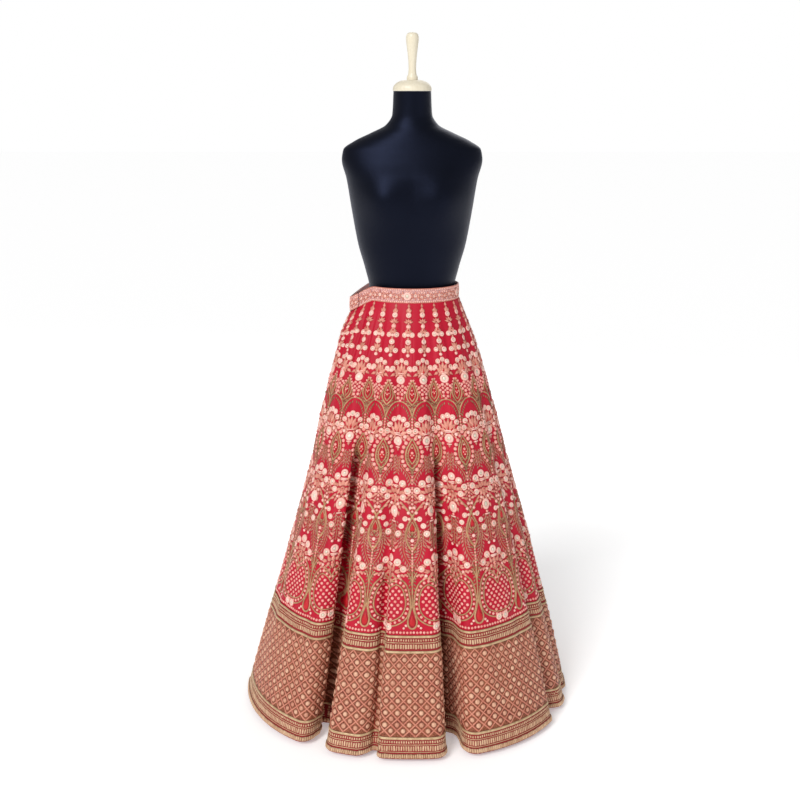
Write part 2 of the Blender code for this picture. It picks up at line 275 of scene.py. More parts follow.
# height, half sizes right, left, front and back, and the share of spare cloth
SECTIONS = np.array([
    (0.012, 0.442, 0.418, 0.424, 0.436, 0.400),
    (0.300, 0.360, 0.346, 0.335, 0.345, 0.290),
    (0.620, 0.270, 0.260, 0.238, 0.250, 0.120),
    (0.930, 0.192, 0.172, 0.148, 0.160, 0.015),
    (1.074, 0.118, 0.118, 0.099, 0.101, 0.000),
])

# place along the hem from centre front, length and angle turning in, then turning out
FOLDS = [
    (-1.735, 0.105, 102, 0.105, 104), (-1.530, 0.060, 62, 0.065, 58),
    (-1.220, 0.110, 108, 0.110, 104), (-0.950, 0.085, 84, 0.080, 74),
    (-0.372, 0.145, 120, 0.140, 100), (-0.120, 0.060, 52, 0.045, 108),
    (0.205, 0.150, 112, 0.150, 112), (0.665, 0.065, 62, 0.065, 62),
    (0.800, 0.045, 52, 0.045, 52), (1.010, 0.115, 108, 0.115, 106),
    (1.280, 0.065, 64, 0.065, 68), (1.560, 0.120, 104, 0.120, 108),
]
STRONGEST_FOLDS = 1.3
HALVINGS = 30
ALONG_STEP = 0.002

# the slack at the side opening: degrees round from the front, metres out and down, and a row
SLACK_BEARING = -92.0
SLACK_REACH = 41.0
SLACK_OUT = 0.037
SLACK_DROP = 0.036
SLACK_FROM = 0.84

# fine steps round the form, in radians from the front, and along the cloth, from 0 to 1
BEARINGS = np.linspace(-math.pi, math.pi, 2881)
AROUND = np.linspace(0.0, 1.0, 1901)
print("folds:", len(FOLDS))

# %% Curves and small sums


def curve_between(t, width, start, start_slope, end, end_slope):
    """A smooth curve's value at t from 0 to 1, from both ends and the slopes there."""
    return ((2 * t ** 3 - 3 * t ** 2 + 1) * start + (t ** 3 - 2 * t ** 2 + t) * width * start_slope
            + (3 * t ** 2 - 2 * t ** 3) * end + (t ** 3 - t ** 2) * width * end_slope)


def smooth_value(heights, values, at):
    """Values on a smooth curve through a table that never overshoots."""
    heights, values = np.asarray(heights, float), np.asarray(values, float)
    at = np.clip(at, heights[0], heights[-1])
    steps = np.diff(heights)
    slopes = np.diff(values) / steps
    before, after = slopes[:-1], slopes[1:]
    agree = before * after > 0
    first, second = np.where(agree, before, 1.0), np.where(agree, after, 1.0)
    inner = np.where(agree, 2.0 / (1.0 / first + 1.0 / second), 0.0)
    tangents = np.concatenate(([slopes[0]], inner, [slopes[-1]]))
    low = np.clip(np.searchsorted(heights, at, side="right") - 1, 0, len(steps) - 1)
    return curve_between((at - heights[low]) / steps[low], steps[low],
                         values[low], tangents[low], values[low + 1], tangents[low + 1])


def ease(t):
    """0 below 0, 1 above 1, and a smooth rise between."""
    t = np.clip(t, 0.0, 1.0)
    return t * t * (3.0 - 2.0 * t)


def unit(vectors):
    """The vectors, each one metre long."""
    return vectors / np.maximum(np.linalg.norm(vectors, axis=-1, keepdims=True), 1e-12)


def run_along(points):
    """How far each point lies along a line of points."""
    return np.concatenate(([0.0], np.cumsum(np.linalg.norm(np.diff(points, axis=0), axis=1))))


print("half way up, the skirt's half width is",
      round(float(smooth_value(SECTIONS[:, 0], SECTIONS[:, 1], 0.54)), 3), "m")

# %% The ring under the folds


def bare_ring(row):
    """The ring that the cloth hangs on, without folds."""
    height = HEM_HEIGHT + (SEAM_HEIGHT - HEM_HEIGHT) * row
    right, left, front, back = (float(smooth_value(SECTIONS[:, 0], SECTIONS[:, side], height))
                                for side in (1, 2, 3, 4))
    sine, cosine = np.sin(BEARINGS), np.cos(BEARINGS)
    x = np.where(sine < 0, right, left) * sine
    y = -np.where(cosine > 0, front, back) * cosine
    power = SQUARENESS + (2.0 - SQUARENESS) * row
    square = (np.abs(sine) ** power + np.abs(cosine) ** power) ** (-1.0 / power)
    away = (np.degrees(BEARINGS) - SLACK_BEARING + 180.0) % 360.0 - 180.0
    slack = 0.5 + 0.5 * np.cos(np.pi * np.clip(away / SLACK_REACH, -1.0, 1.0))
    slack = slack * ease((row - SLACK_FROM) / (1 - SLACK_FROM))
    grow = square + SLACK_OUT * slack / np.hypot(x, y)
    return np.stack([x * grow, y * grow, height - SLACK_DROP * slack], axis=1)


print("round the waist:", round(float(run_along(bare_ring(1.0))[-1]), 3), "m")

# %% Fold the cloth into the ring


def fold_headings(strength):
    """The angle by which the cloth turns in from its ring."""
    place = (AROUND - 0.5) * HEM_CLOTH
    heading = np.zeros_like(place)
    for centre, length_in, turn_in, length_out, turn_out in FOLDS:
        past = place - centre
        going_in = np.clip(past / length_in, -1.0, 0.0)
        coming_out = np.clip(past / length_out, 0.0, 1.0)
        heading -= math.radians(turn_in) * np.sin(np.pi * going_in)
        heading -= math.radians(turn_out) * np.sin(np.pi * coming_out)
    return strength * heading


def skirt_ring(row):
    """The cloth's outer face at one row, from 0 at the hem to 1 at the waist seam."""
    bare = bare_ring(row)
    run = run_along(bare)
    height = HEM_HEIGHT + (SEAM_HEIGHT - HEM_HEIGHT) * row
    length = run[-1] * (1.0 + float(smooth_value(SECTIONS[:, 0], SECTIONS[:, 5], height)))
    low, high = 0.0, STRONGEST_FOLDS
    for _ in range(HALVINGS):
        strength = (low + high) / 2
        reach = length * np.cos(fold_headings(strength)[:-1]).mean()
        low, high = (strength, high) if reach > run[-1] else (low, strength)
    step = length * np.diff(AROUND)
    heading = fold_headings(strength)[:-1]
    forward = np.concatenate(([0.0], np.cumsum(step * np.cos(heading))))
    inward = np.concatenate(([0.0], np.cumsum(step * np.sin(heading))))
    place = (AROUND - 0.5) * HEM_CLOTH
    for centre, length_in, _, length_out, _ in FOLDS:
        through = (place - centre + length_in) / (length_in + length_out)
        ends = np.interp([centre - length_in, centre + length_out], place, inward)
        inward = inward - (ends[1] - ends[0]) * ease(through)
    middle = len(AROUND) // 2
    wanted = (np.interp(0.0, BEARINGS, run) + forward - forward[middle]) % run[-1]
    here, there, back = (np.stack([np.interp(at % run[-1], run, bare[:, axis])
                                   for axis in range(3)], axis=1)
                         for at in (wanted, wanted + ALONG_STEP, wanted - ALONG_STEP))
    along = unit((there - back) * [1.0, 1.0, 0.0])
    inside = np.stack([-along[:, 1], along[:, 0], np.zeros(len(along))], axis=1)
    return here + inside * (inward - inward[middle])[:, None]


hem = skirt_ring(0.0)
print("hem:", round(run_along(hem)[-1], 2), "m of cloth")

# %% [markdown]
# ## The cloth's own creases
# Between the deep folds the silk lies in soft troughs and ridges: narrow flutes where it
# leaves the waistband, and wide, shallow ones that run out above the hem. They are written
# down one by one, each with its own place, length, width and height, and no two are alike.
# The sides and the back have them too.

# %% The creases, one by one
CREASE_PARTS = 24
FADE_IN = 0.10
FADE_OUT = 0.16

# place at its top and foot in 24ths of the way round, slant at its top and foot in metres,
# half width at its top and foot in metres, and height in mm (a trough is negative)
CREASES = [
    (7.05, 7.30, 0.01, 0.46, 0.012, 0.022, -3.0), (7.95, 7.80, 0.00, 0.37, 0.010, 0.024, 2.6),
    (8.55, 8.90, 0.02, 0.60, 0.009, 0.026, -3.4), (9.30, 9.20, 0.00, 0.33, 0.011, 0.019, 2.4),
    (9.98, 9.85, 0.03, 0.52, 0.010, 0.022, -3.6), (10.7, 10.9, 0.01, 0.41, 0.012, 0.025, 2.8),
    (11.3, 11.6, 0.00, 0.66, 0.010, 0.030, -3.2), (12.1, 12.2, 0.05, 0.49, 0.013, 0.024, 3.0),
    (12.8, 13.0, 0.00, 0.38, 0.009, 0.020, -2.8), (13.6, 13.4, 0.02, 0.70, 0.012, 0.032, 3.4),
    (14.2, 14.5, 0.00, 0.44, 0.010, 0.022, -3.4), (15.1, 15.0, 0.04, 0.36, 0.012, 0.021, 2.4),
    (15.8, 16.1, 0.00, 0.57, 0.009, 0.027, -3.0), (16.5, 16.6, 0.02, 0.45, 0.013, 0.023, 2.8),
    (17.2, 17.0, 0.00, 0.40, 0.010, 0.024, -3.2), (17.9, 18.2, 0.03, 0.62, 0.012, 0.030, 3.0),
    (18.6, 18.5, 0.01, 0.35, 0.009, 0.019, -2.6), (19.4, 19.7, 0.00, 0.50, 0.012, 0.026, 3.2),
    (20.1, 20.0, 0.02, 0.68, 0.010, 0.031, -3.4), (20.9, 20.7, 0.00, 0.39, 0.011, 0.020, 2.2),
    (21.7, 21.9, 0.03, 0.47, 0.010, 0.025, -3.0), (22.5, 22.6, 0.00, 0.59, 0.013, 0.028, 3.0),
    (23.2, 23.0, 0.02, 0.36, 0.009, 0.019, -2.8), (23.9, 24.2, 0.00, 0.54, 0.012, 0.027, 2.8),
    (0.70, 0.60, 0.04, 0.43, 0.010, 0.021, -3.2), (1.50, 1.80, 0.00, 0.64, 0.012, 0.031, 3.2),
    (2.25, 2.20, 0.02, 0.37, 0.010, 0.021, -2.6), (3.05, 3.30, 0.00, 0.51, 0.012, 0.025, 3.0),
    (3.80, 3.60, 0.03, 0.46, 0.009, 0.023, -3.4), (4.55, 4.70, 0.00, 0.61, 0.012, 0.029, 2.8),
    (5.30, 5.20, 0.01, 0.40, 0.010, 0.020, -2.8), (6.20, 6.40, 0.00, 0.48, 0.011, 0.024, 2.6),
    (7.60, 7.45, 0.40, 0.99, 0.020, 0.034, 4.2), (8.60, 8.40, 0.52, 1.06, 0.018, 0.030, -3.6),
    (9.05, 9.10, 0.61, 1.09, 0.016, 0.026, 3.0), (10.6, 10.5, 0.47, 0.92, 0.019, 0.028, -3.4),
    (11.0, 11.1, 0.58, 1.09, 0.020, 0.034, 4.0), (12.5, 12.6, 0.44, 1.02, 0.020, 0.032, 3.6),
    (14.4, 14.6, 0.50, 1.09, 0.022, 0.036, 3.8), (15.3, 15.5, 0.55, 0.98, 0.018, 0.030, -3.6),
    (17.4, 17.3, 0.48, 1.08, 0.020, 0.034, 4.0), (19.1, 19.3, 0.57, 1.04, 0.018, 0.031, -3.4),
    (21.0, 21.2, 0.46, 1.09, 0.022, 0.036, 3.8), (22.9, 22.8, 0.53, 0.97, 0.019, 0.030, -3.4),
    (0.30, 0.40, 0.49, 1.07, 0.021, 0.034, 3.6), (3.10, 3.00, 0.56, 1.09, 0.020, 0.033, 3.8),
    (5.60, 5.70, 0.45, 1.00, 0.021, 0.034, -3.6), (6.90, 6.80, 0.60, 1.08, 0.018, 0.030, 3.4),
    (9.40, 9.50, 0.34, 1.20, 0.012, 0.028, -42.0), (9.16, 9.20, 0.40, 1.20, 0.010, 0.020, 4.8),
    (11.2, 11.2, 0.62, 1.20, 0.010, 0.016, -9.0), (13.2, 13.2, 0.36, 1.20, 0.013, 0.027, -39.0),
    (12.9, 12.8, 0.44, 1.20, 0.011, 0.018, 4.4), (16.1, 16.2, 0.50, 1.20, 0.012, 0.022, -8.0),
    (18.3, 18.4, 0.38, 1.20, 0.013, 0.030, -18.0), (20.2, 20.1, 0.55, 1.20, 0.011, 0.022, -8.5),
    (21.9, 21.8, 0.37, 1.20, 0.013, 0.032, -20.0), (1.10, 1.00, 0.42, 1.20, 0.012, 0.030, -18.0),
    (2.40, 2.30, 0.58, 1.20, 0.010, 0.020, -7.0), (4.20, 4.30, 0.35, 1.20, 0.013, 0.031, -19.0),
    (6.10, 6.00, 0.46, 1.20, 0.011, 0.024, -9.5), (7.55, 7.62, 0.02, 0.30, 0.006, 0.011, -5.0),
    (8.22, 8.32, 0.00, 0.34, 0.007, 0.012, -5.6), (9.22, 9.10, 0.01, 0.26, 0.006, 0.010, -4.0),
]
print("creases:", len(CREASES))

# %% Which way is out, and how far each crease goes
COLUMNS = 1536
ROWS = 192


def normals_of(face):
    """The outward direction at each point of the closed surface, rows going down."""
    ring = face[:, :-1]
    across = np.roll(ring, -1, axis=1) - np.roll(ring, 1, axis=1)
    down = np.gradient(ring, axis=0)
    normals = unit(np.cross(down, across))
    return np.concatenate([normals, normals[:, :1]], axis=1)


def creased(face, slants, lengths):
    """The surface, moved out and in by its creases."""
    around = np.linspace(0, CREASE_PARTS, COLUMNS + 1)[None, :]
    down = slants[:, None]
    height = np.zeros(face.shape[:2])
    for top, foot, start, end, wide_top, wide_foot, rise in CREASES:
        through = np.clip((down - start) / (end - start), 0, 1)
        centre = top + (foot - top) * through
        away = (around - centre + CREASE_PARTS / 2) % CREASE_PARTS - CREASE_PARTS / 2
        away = away * lengths[:, None] / CREASE_PARTS
        width = wide_top + (wide_foot - wide_top) * through
        profile = 0.5 + 0.5 * np.cos(np.pi * np.clip(away / width, -1, 1))
        fade = ease((down - start) / FADE_IN) * ease((end - down) / FADE_OUT)
        height += rise / 1000 * profile * fade
    return face + normals_of(face) * height[:, :, None]


print("the grid of the surface:", COLUMNS, "by", ROWS)

# %% The surface, worked out once
columns_around = np.linspace(0, 1, COLUMNS + 1)
rings = []
for row in np.linspace(1, 0, ROWS + 1):
    ring = skirt_ring(row)
    rings.append(np.stack([np.interp(columns_around, AROUND, ring[:, axis])
                           for axis in range(3)], axis=1))
FACE = np.array(rings)
RING_LENGTHS = np.array([run_along(ring)[-1] for ring in FACE])
row_steps = np.linalg.norm(np.diff(FACE, axis=0), axis=2).mean(axis=1)
SLANTS = np.concatenate(([0.0], np.cumsum(row_steps)))
FACE = creased(FACE, SLANTS, RING_LENGTHS)
CUT_LENGTHS = np.array([run_along(ring)[-1] for ring in FACE])
NORMALS = normals_of(FACE)
SLANT_END = float(SLANTS[-1])
print("cloth from seam to hem:", round(SLANT_END, 3), "m; points:", FACE.shape[0] * FACE.shape[1])

# %% Finding a place on the cloth


def ring_length(slant):
    """How much cloth there is round the skirt at a slant."""
    return np.interp(slant, SLANTS, RING_LENGTHS)


def slant_at_row(row):
    """The slant of a row given as a fraction of the way up from the hem."""
    return float(np.interp(1.0 - row, np.linspace(0, 1, ROWS + 1), SLANTS))


def on_cloth(around, slant, out=0.0):
    """Points of the cloth's face, moved out by a distance."""
    around, slant, out = np.broadcast_arrays(around, slant, out)
    column = (around % 1.0) * COLUMNS
    row = np.interp(slant, SLANTS, np.arange(ROWS + 1))
    left = np.minimum(np.floor(column).astype(int), COLUMNS - 1)
    top = np.minimum(np.floor(row).astype(int), ROWS - 1)
    across, down = (column - left)[..., None], (row - top)[..., None]

    def mixed(table):
        upper = table[top, left] * (1 - across) + table[top, left + 1] * across
        lower = table[top + 1, left] * (1 - across) + table[top + 1, left + 1] * across
        return upper * (1 - down) + lower * down

    return mixed(FACE) + unit(mixed(NORMALS)) * out[..., None]


print("cloth round the hem, creases and all:", round(float(CUT_LENGTHS[-1]), 3), "m")
print("centre front at the hem:", [round(v, 3) for v in on_cloth(0.5, SLANT_END)])

# %% [markdown]
# ## The twelve kalis
# Each kali is a sheet of silk. It starts as a flat grid, which is laid on the surface point
# by point, and a Solidify modifier gives it the silk's thickness. A cloth simulation would
# sag the folds away from the places they are known to be in, so the form is laid as given.
# Raw silk has slubs: thicker stretches of its crosswise thread, which catch the light as
# short dashes. The weave is read from the sheet's own UV map, which is in metres.

# %% The silk
silk, silk_place, silk_uv = start_finish("red_silk", sheen=0.12, sheen_tint=linear(255, 60, 100),
                                         specular=0.3)
slubs = silk_uv.stretched((110, 1500, 1)).noise(1.0, 2.0, 0.6)
threads = silk_uv.stretched((1900, 1900, 1)).noise(1.0, 1.0, 0.5)
clouds = silk_place.noise(9.0, 3.0, 0.6)
silk_tone = clouds * 0.5 + slubs * 0.35 + threads * 0.15
colour_it(silk, silk_tone.blend(linear(146, 2, 28), linear(216, 8, 52)))
bump_it(silk, slubs * 0.7 + threads * 0.3, 0.0004)
print("nodes of the silk:", len(silk.node_tree.nodes))

# %% Helpers for pieces


def alone(piece):
    """Only this piece is selected."""
    bpy.ops.object.select_all(action="DESELECT")
    piece.select_set(True)
    bpy.context.view_layer.objects.active = piece


def apply_modifiers(piece):
    """Turn every modifier into real mesh."""
    alone(piece)
    for modifier in list(piece.modifiers):
        bpy.ops.object.modifier_apply(modifier=modifier.name)


def settle(piece, slot_name, *nodes):
    """The piece rides on the part and stands for some nodes, which it hides. slot_name is not
    used.
    """
    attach(piece, "root")
    if nodes:
        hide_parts(*nodes)
    triangles = sum(len(face.vertices) - 2 for face in piece.data.polygons)
    print(f"{piece.name}: {triangles} triangles")


# %% Lay a sheet
WELD = 0.00002
SMOOTH_UNDER = 50


def laid_sheet(name, shares, falls, surface, first, last, top, foot, out, thick, material):
    """A flat grid, laid on a surface between two places round it and two slants."""
    bpy.ops.object.select_all(action="DESELECT")
    bpy.ops.mesh.primitive_grid_add(x_subdivisions=len(shares) - 1,
                                    y_subdivisions=len(falls) - 1, size=2)
    piece = bpy.context.object
    piece.name = name
    flat = np.empty(len(piece.data.vertices) * 3)
    piece.data.vertices.foreach_get("co", flat)
    flat = flat.reshape(-1, 3)
    share = np.interp((flat[:, 0] + 1) / 2, np.linspace(0, 1, len(shares)), shares)
    fall = np.interp((1 - flat[:, 1]) / 2, np.linspace(0, 1, len(falls)), falls)
    around = first + (last - first) * share
    slant = top + (foot - top) * fall
    piece.data.vertices.foreach_set("co", surface(around, slant, out).ravel())
    corners = np.empty(len(piece.data.loops), int)
    piece.data.loops.foreach_get("vertex_index", corners)
    metres = np.stack([(around - first) * ring_length(slant), -slant], axis=1)
    piece.data.uv_layers[0].data.foreach_set("uv", metres[corners].ravel())
    if last - first == 1.0:
        bpy.ops.object.mode_set(mode="EDIT")
        bpy.ops.mesh.select_all(action="SELECT")
        bpy.ops.mesh.remove_doubles(threshold=WELD)
        bpy.ops.object.mode_set(mode="OBJECT")
    shell = piece.modifiers.new("thickness", "SOLIDIFY")
    shell.thickness = thick
    shell.offset = -1
    shell.use_even_offset = False
    apply_modifiers(piece)
    bpy.ops.object.shade_smooth_by_angle(angle=math.radians(SMOOTH_UNDER))
    piece.data.materials.clear()
    piece.data.materials.append(material)
    return piece


print("points closer than", WELD * 1000, "mm are welded")

# %% Measure the cut


def cut_length(slant):
    """How much cloth was cut for a level: its creases take up more than its bare ring."""
    return np.interp(slant, SLANTS, CUT_LENGTHS)


def cut_area(top, foot, share=1.0):
    """The flat area between two slants of a share of the way round."""
    return float(cut_length(np.linspace(top, foot, 201)).mean()) * share * (foot - top)


print("one kali's cut:", round(cut_area(0, SLANT_END, 1 / KALIS), 4), "square metres")

# %% Lay the kalis
SILK_OUT = -0.0002
SILK_THICK = 0.0010
KALI_GAP = 0.00001
HEM_COVERED = 0.0008
SEAM_DIP = 0.0007
SEAM_SHARE = 0.012

# the grid's lines, closer together where the cloth turns in at a seam
seam_turn = np.array([0.0, 0.006, 0.016])
kali_shares = np.concatenate([seam_turn, np.linspace(0.03, 0.97, 35), 1 - seam_turn[::-1]])
kali_falls = np.linspace(0, 1, 86)


def kali_surface(around, slant, out):
    """The cloth, turned in a little at both of its long seams."""
    share = (around - SIDE_OPENING) * KALIS % 1.0
    edge = np.minimum(share, 1 - share)
    return on_cloth(around, slant, out - SEAM_DIP * (1 - ease(edge / SEAM_SHARE)))


for number in range(KALIS):
    first = SIDE_OPENING + number / KALIS
    name = f"kali_{number + 1:02d}"
    sheet = laid_sheet(f"silk_{name}", kali_shares, kali_falls, kali_surface,
                       first + KALI_GAP, first + 1 / KALIS - KALI_GAP, 0.0,
                       SLANT_END - HEM_COVERED, SILK_OUT, SILK_THICK, silk)
    settle(sheet, "red_silk", name)

# %% [markdown]
# ## Needlework, modelled once and copied
# Zardozi is embroidery with gold thread, beads, sequins and small mirrors. Every bead, ring,
# petal and leaf here is modelled once, as a low raised shape, and copied to its places. The
# copies are bent to the cloth, since each of their points is laid on the surface by itself.
# One mesh holds all copies of a finish, because tens of thousands of objects would be slow.
# Two attributes go with each point: `rim` is 0 along a shape's outline, which the finish
# paints dark, as painted shade where the thread dips to the cloth and as a darker outline
# thread, and `tone` is one number per copy, because no two stitches are alike.

# %% How a small shape is made
ON_OUTLINE = 0.01


def low_shape(outline, steps, crown=None):
    """A raised shape from an outline: it grows by each step, and a crown closes its top."""
    bpy.ops.object.select_all(action="DESELECT")
    bpy.ops.mesh.primitive_circle_add(vertices=len(outline), radius=1.0, fill_type="NOTHING")
    shape = bpy.context.object
    for vertex, (x, y) in zip(shape.data.vertices, outline):
        vertex.co = (x, y, 0.0)
    bpy.ops.object.mode_set(mode="EDIT")
    bpy.ops.mesh.select_all(action="SELECT")
    middle = (0.0, sum(y for _, y in outline) / len(outline), 0.0)
    for grow, rise in steps:
        bpy.ops.mesh.extrude_region_move(TRANSFORM_OT_translate={"value": (0, 0, rise)})
        bpy.ops.transform.resize(value=(grow, grow, 1), center_override=middle)
    if crown is not None:
        bpy.ops.mesh.edge_face_add()
        bpy.ops.mesh.poke(offset=0.0)
    bpy.ops.mesh.select_all(action="SELECT")
    bpy.ops.mesh.quads_convert_to_tris()
    bpy.ops.object.mode_set(mode="OBJECT")
    points = np.array([vertex.co for vertex in shape.data.vertices])
    faces = np.array([face.vertices for face in shape.data.polygons])
    # rim is 0 on the outline, where the finish paints shade and a darker outline thread
    rim = np.where(points[:, 2] < ON_OUTLINE, 0.0, 1.0)
    if crown is not None:
        points[-1, 2] += crown
        rim[-1] = 1.0
    a, b, c = (points[faces[:, corner]] for corner in range(3))
    downward = np.cross(b - a, c - a)[:, 2] < 0
    faces[downward] = faces[downward][:, ::-1]
    bpy.data.objects.remove(shape, do_unlink=True)
    return points, faces, rim


print("a plain square:", len(low_shape([(0, 0), (1, 0), (1, 1), (0, 1)], [], 0.5)[1]), "triangles")

# %% The shapes


def round_outline(sides, radius=0.5):
    """Points round a circle."""
    turns = np.linspace(0, 2 * np.pi, sides, endpoint=False)
    return [(radius * math.sin(t), radius * math.cos(t)) for t in turns]


DROP_OUTLINE = [(0, 0.5), (0.22, 0.2), (0.46, -0.08), (0.45, -0.32), (0.2, -0.49), (-0.2, -0.49),
                (-0.45, -0.32), (-0.46, -0.08), (-0.22, 0.2)]
LEAF_OUTLINE = [(0, 0.5), (0.42, 0.08), (0.3, -0.25), (0, -0.5), (-0.3, -0.25), (-0.42, 0.08)]
BAR_OUTLINE = [(-0.5, 0.5), (0.5, 0.5), (0.5, -0.5), (-0.5, -0.5)]
bead = low_shape(round_outline(6), [(0.78, 0.7)], 0.3)
dot = low_shape(round_outline(8), [(0.8, 0.75)], 0.25)
ring = low_shape(round_outline(12), [(0.88, 0.7), (0.56, 0.3), (0.84, -0.8)])
mirror = low_shape(round_outline(8, 0.24), [(0.9, 0.6)], 0.1)
petal = low_shape(DROP_OUTLINE, [(0.74, 0.75)], 0.25)
leaf = low_shape(LEAF_OUTLINE, [], 1.0)
bar = low_shape(BAR_OUTLINE, [(0.8, 1.0)], 0.1)
boss = low_shape(round_outline(10), [(0.76, 0.6), (0.62, 0.27)], 0.13)
print("triangles in one bead, ring, petal:", len(bead[1]), len(ring[1]), len(petal[1]))

# %% Where the columns of the pattern stand
pattern = {"columns": 24, "shift": 0.25}


def column_width(slant):
    """The width of one column of the pattern at a slant."""
    return ring_length(slant) / pattern["columns"]


def column_middles():
    """Where the middle of each column is, from 0 to 1 round the cloth."""
    places = np.arange(pattern["columns"]) + 0.5 + pattern["shift"]
    return places / pattern["columns"]


print("a strand's column at the waist:", round(float(column_width(0)) * 1000, 1), "mm")

# %% Stamp shapes on the cloth
stitches = {finish: [] for finish in
            ("gold_petals", "gold_vines", "cream_discs", "mirrors", "beadwork", "red_filling")}
hand = np.random.default_rng(11)
SUNK = 0.0006

# how much a hand's stitches differ, in degrees, as a share of their size, and in metres
TURN_SPREAD = 3.0
SIZE_SPREAD = 0.03
PLACE_SPREAD = 0.0003


def stamp(work, shape, x, slant, wide, long, tall, turn=0.0, both=False, surface=on_cloth,
          middles=None):
    """Copies of a shape. x is metres from a column's middle, and turns are to its right."""
    points, faces, rim = shape
    middles = column_middles() if middles is None else middles
    x, slant, wide, long, turn = np.broadcast_arrays(*(np.atleast_1d(np.asarray(v, float))
                                                       for v in (x, slant, wide, long, turn)))
    if both:
        x, turn = np.concatenate([x, -x]), np.concatenate([turn, -turn])
        slant, wide, long = (np.concatenate([v, v]) for v in (slant, wide, long))
    copies = (len(middles), len(x))
    angle = np.radians(turn + hand.normal(0, TURN_SPREAD, copies))[..., None]
    size = (1 + hand.normal(0, SIZE_SPREAD, copies))[..., None]
    across = points[:, 0] * wide[:, None] * size
    up = points[:, 1] * long[:, None] * size
    right = across * np.cos(angle) + up * np.sin(angle)
    above = up * np.cos(angle) - across * np.sin(angle)
    down = (slant + hand.normal(0, PLACE_SPREAD, copies))[..., None] - above
    around = middles[:, None, None] + (x[:, None] + right) / ring_length(slant)[:, None]
    placed = surface(around, down, points[:, 2] * tall - SUNK).reshape(-1, 3)
    starts = np.arange(len(middles) * len(x)) * len(points)
    tone = np.repeat(hand.random(len(starts)), len(points))
    work.append((placed, (faces[None] + starts[:, None, None]).reshape(-1, 3),
                 np.tile(rim, len(starts)), tone))


print("finishes of needlework:", ", ".join(stitches))

# %% Couch a cord on the cloth
CORD_ACROSS = np.array([-0.5, -0.25, 0.25, 0.5])
# the cord's rise across it is also its rim: its sides at 0 get painted shade
CORD_RISE = np.array([0.0, 1.0, 1.0, 0.0])


def couch(work, x, slant, width, tall, both=False, surface=on_cloth, middles=None):
    """A cord sewn down along a path of x and slant, both in metres."""
    if both:
        couch(work, -x, slant, width, tall, False, surface, middles)
    middles = column_middles() if middles is None else middles
    aim = unit(np.stack([np.gradient(x), -np.gradient(slant)], axis=1))
    aside = np.stack([aim[:, 1], -aim[:, 0]], axis=1)
    right = x[:, None] + aside[:, :1] * CORD_ACROSS * width
    down = slant[:, None] - aside[:, 1:] * CORD_ACROSS * width
    around = middles[:, None, None] + right / ring_length(down)
    placed = surface(around, down[None], (CORD_RISE * tall - SUNK)[None, None, :])
    count, strips = len(x), len(CORD_ACROSS)
    a = (np.arange(count - 1)[:, None] * strips + np.arange(strips - 1)).ravel()
    faces = np.concatenate([np.stack([a, a + strips, a + 1], axis=1),
                            np.stack([a + 1, a + strips, a + strips + 1], axis=1)])
    starts = np.arange(len(middles)) * count * strips
    tone = np.repeat(hand.random(len(middles) * count), strips)
    work.append((placed.reshape(-1, 3), (faces[None] + starts[:, None, None]).reshape(-1, 3),
                 np.tile(CORD_RISE, len(middles) * count), tone))


print("points across a cord:", len(CORD_ACROSS))

# %% Join the copies of a finish


def joined(name, work, material, slot_name):
    """One mesh from all the copies, with their rims and tones."""
    counts = np.cumsum([0] + [len(copy[0]) for copy in work])
    points = np.concatenate([copy[0] for copy in work])
    faces = np.concatenate([copy[1] + start for copy, start in zip(work, counts)])
    mesh = bpy.data.meshes.new(name)
    mesh.vertices.add(len(points))
    mesh.vertices.foreach_set("co", points.ravel())
    mesh.loops.add(faces.size)
    mesh.loops.foreach_set("vertex_index", faces.ravel())
    mesh.polygons.add(len(faces))
    mesh.polygons.foreach_set("loop_start", np.arange(len(faces)) * 3)
    for label, part in (("rim", 2), ("tone", 3)):
        values = np.concatenate([copy[part] for copy in work])
        mesh.attributes.new(label, "FLOAT", "POINT").data.foreach_set("value", values)
    mesh.update(calc_edges=True)
    mesh.validate()
    mesh.shade_smooth()
    mesh.materials.append(material)
    piece = bpy.data.objects.new(name, mesh)
    bpy.context.scene.collection.objects.link(piece)
    settle(piece, slot_name)
    return piece


def so_far(finish):
    """Print how much has been sewn in a finish."""
    print(f"{finish} so far:", sum(len(copy[1]) for copy in stitches[finish]), "triangles")


so_far("beadwork")

# %% Paths on one column


def at_column(places):
    """Metres from a column's middle, from (share of its half width, slant in mm)."""
    share, slant = np.array(places, float).T
    return share * column_width(slant / 1000) / 2, slant / 1000


def path(places, pitch=0.006):
    """Evenly spaced points on a smooth line through the places."""
    x, slant = at_column(places)
    run = np.concatenate(([0.0], np.cumsum(np.hypot(np.diff(x), np.diff(slant)))))
    fine = np.linspace(0, run[-1], 200)
    points = []
    for values in (x, slant):
        tangent = np.gradient(values, run)
        low = np.clip(np.searchsorted(run, fine, side="right") - 1, 0, len(run) - 2)
        width = run[low + 1] - run[low]
        points.append(curve_between((fine - run[low]) / width, width, values[low],
                                    tangent[low], values[low + 1], tangent[low + 1]))
    length = np.concatenate(([0.0], np.cumsum(np.hypot(np.diff(points[0]), np.diff(points[1])))))
    even = np.linspace(0, length[-1], max(3, int(round(length[-1] / pitch)) + 1))
    return np.interp(even, length, points[0]), np.interp(even, length, points[1])


print("points on a straight 60 mm:", len(path([(0, 0), (0, 60)])[0]))

# %% Vines, beads and leaves along a path
CORD_TALL = 0.0018
STEM_WIDE = 0.0022
STEM_TALL = 0.0014
LEAF_TALL = 0.0026


def vine(places, width, both=True):
    """A gold cord couched along a path, with its width in metres."""
    x, slant = path(places)
    couch(stitches["gold_vines"], x, slant, width, CORD_TALL, both)


def beads_on(places, pitch, size, both=True):
    """A row of beads along a path."""
    x, slant = path(places, pitch)
    stamp(stitches["beadwork"], bead, x, slant, size, size, 0.0022 + size * 0.12, 0, both)


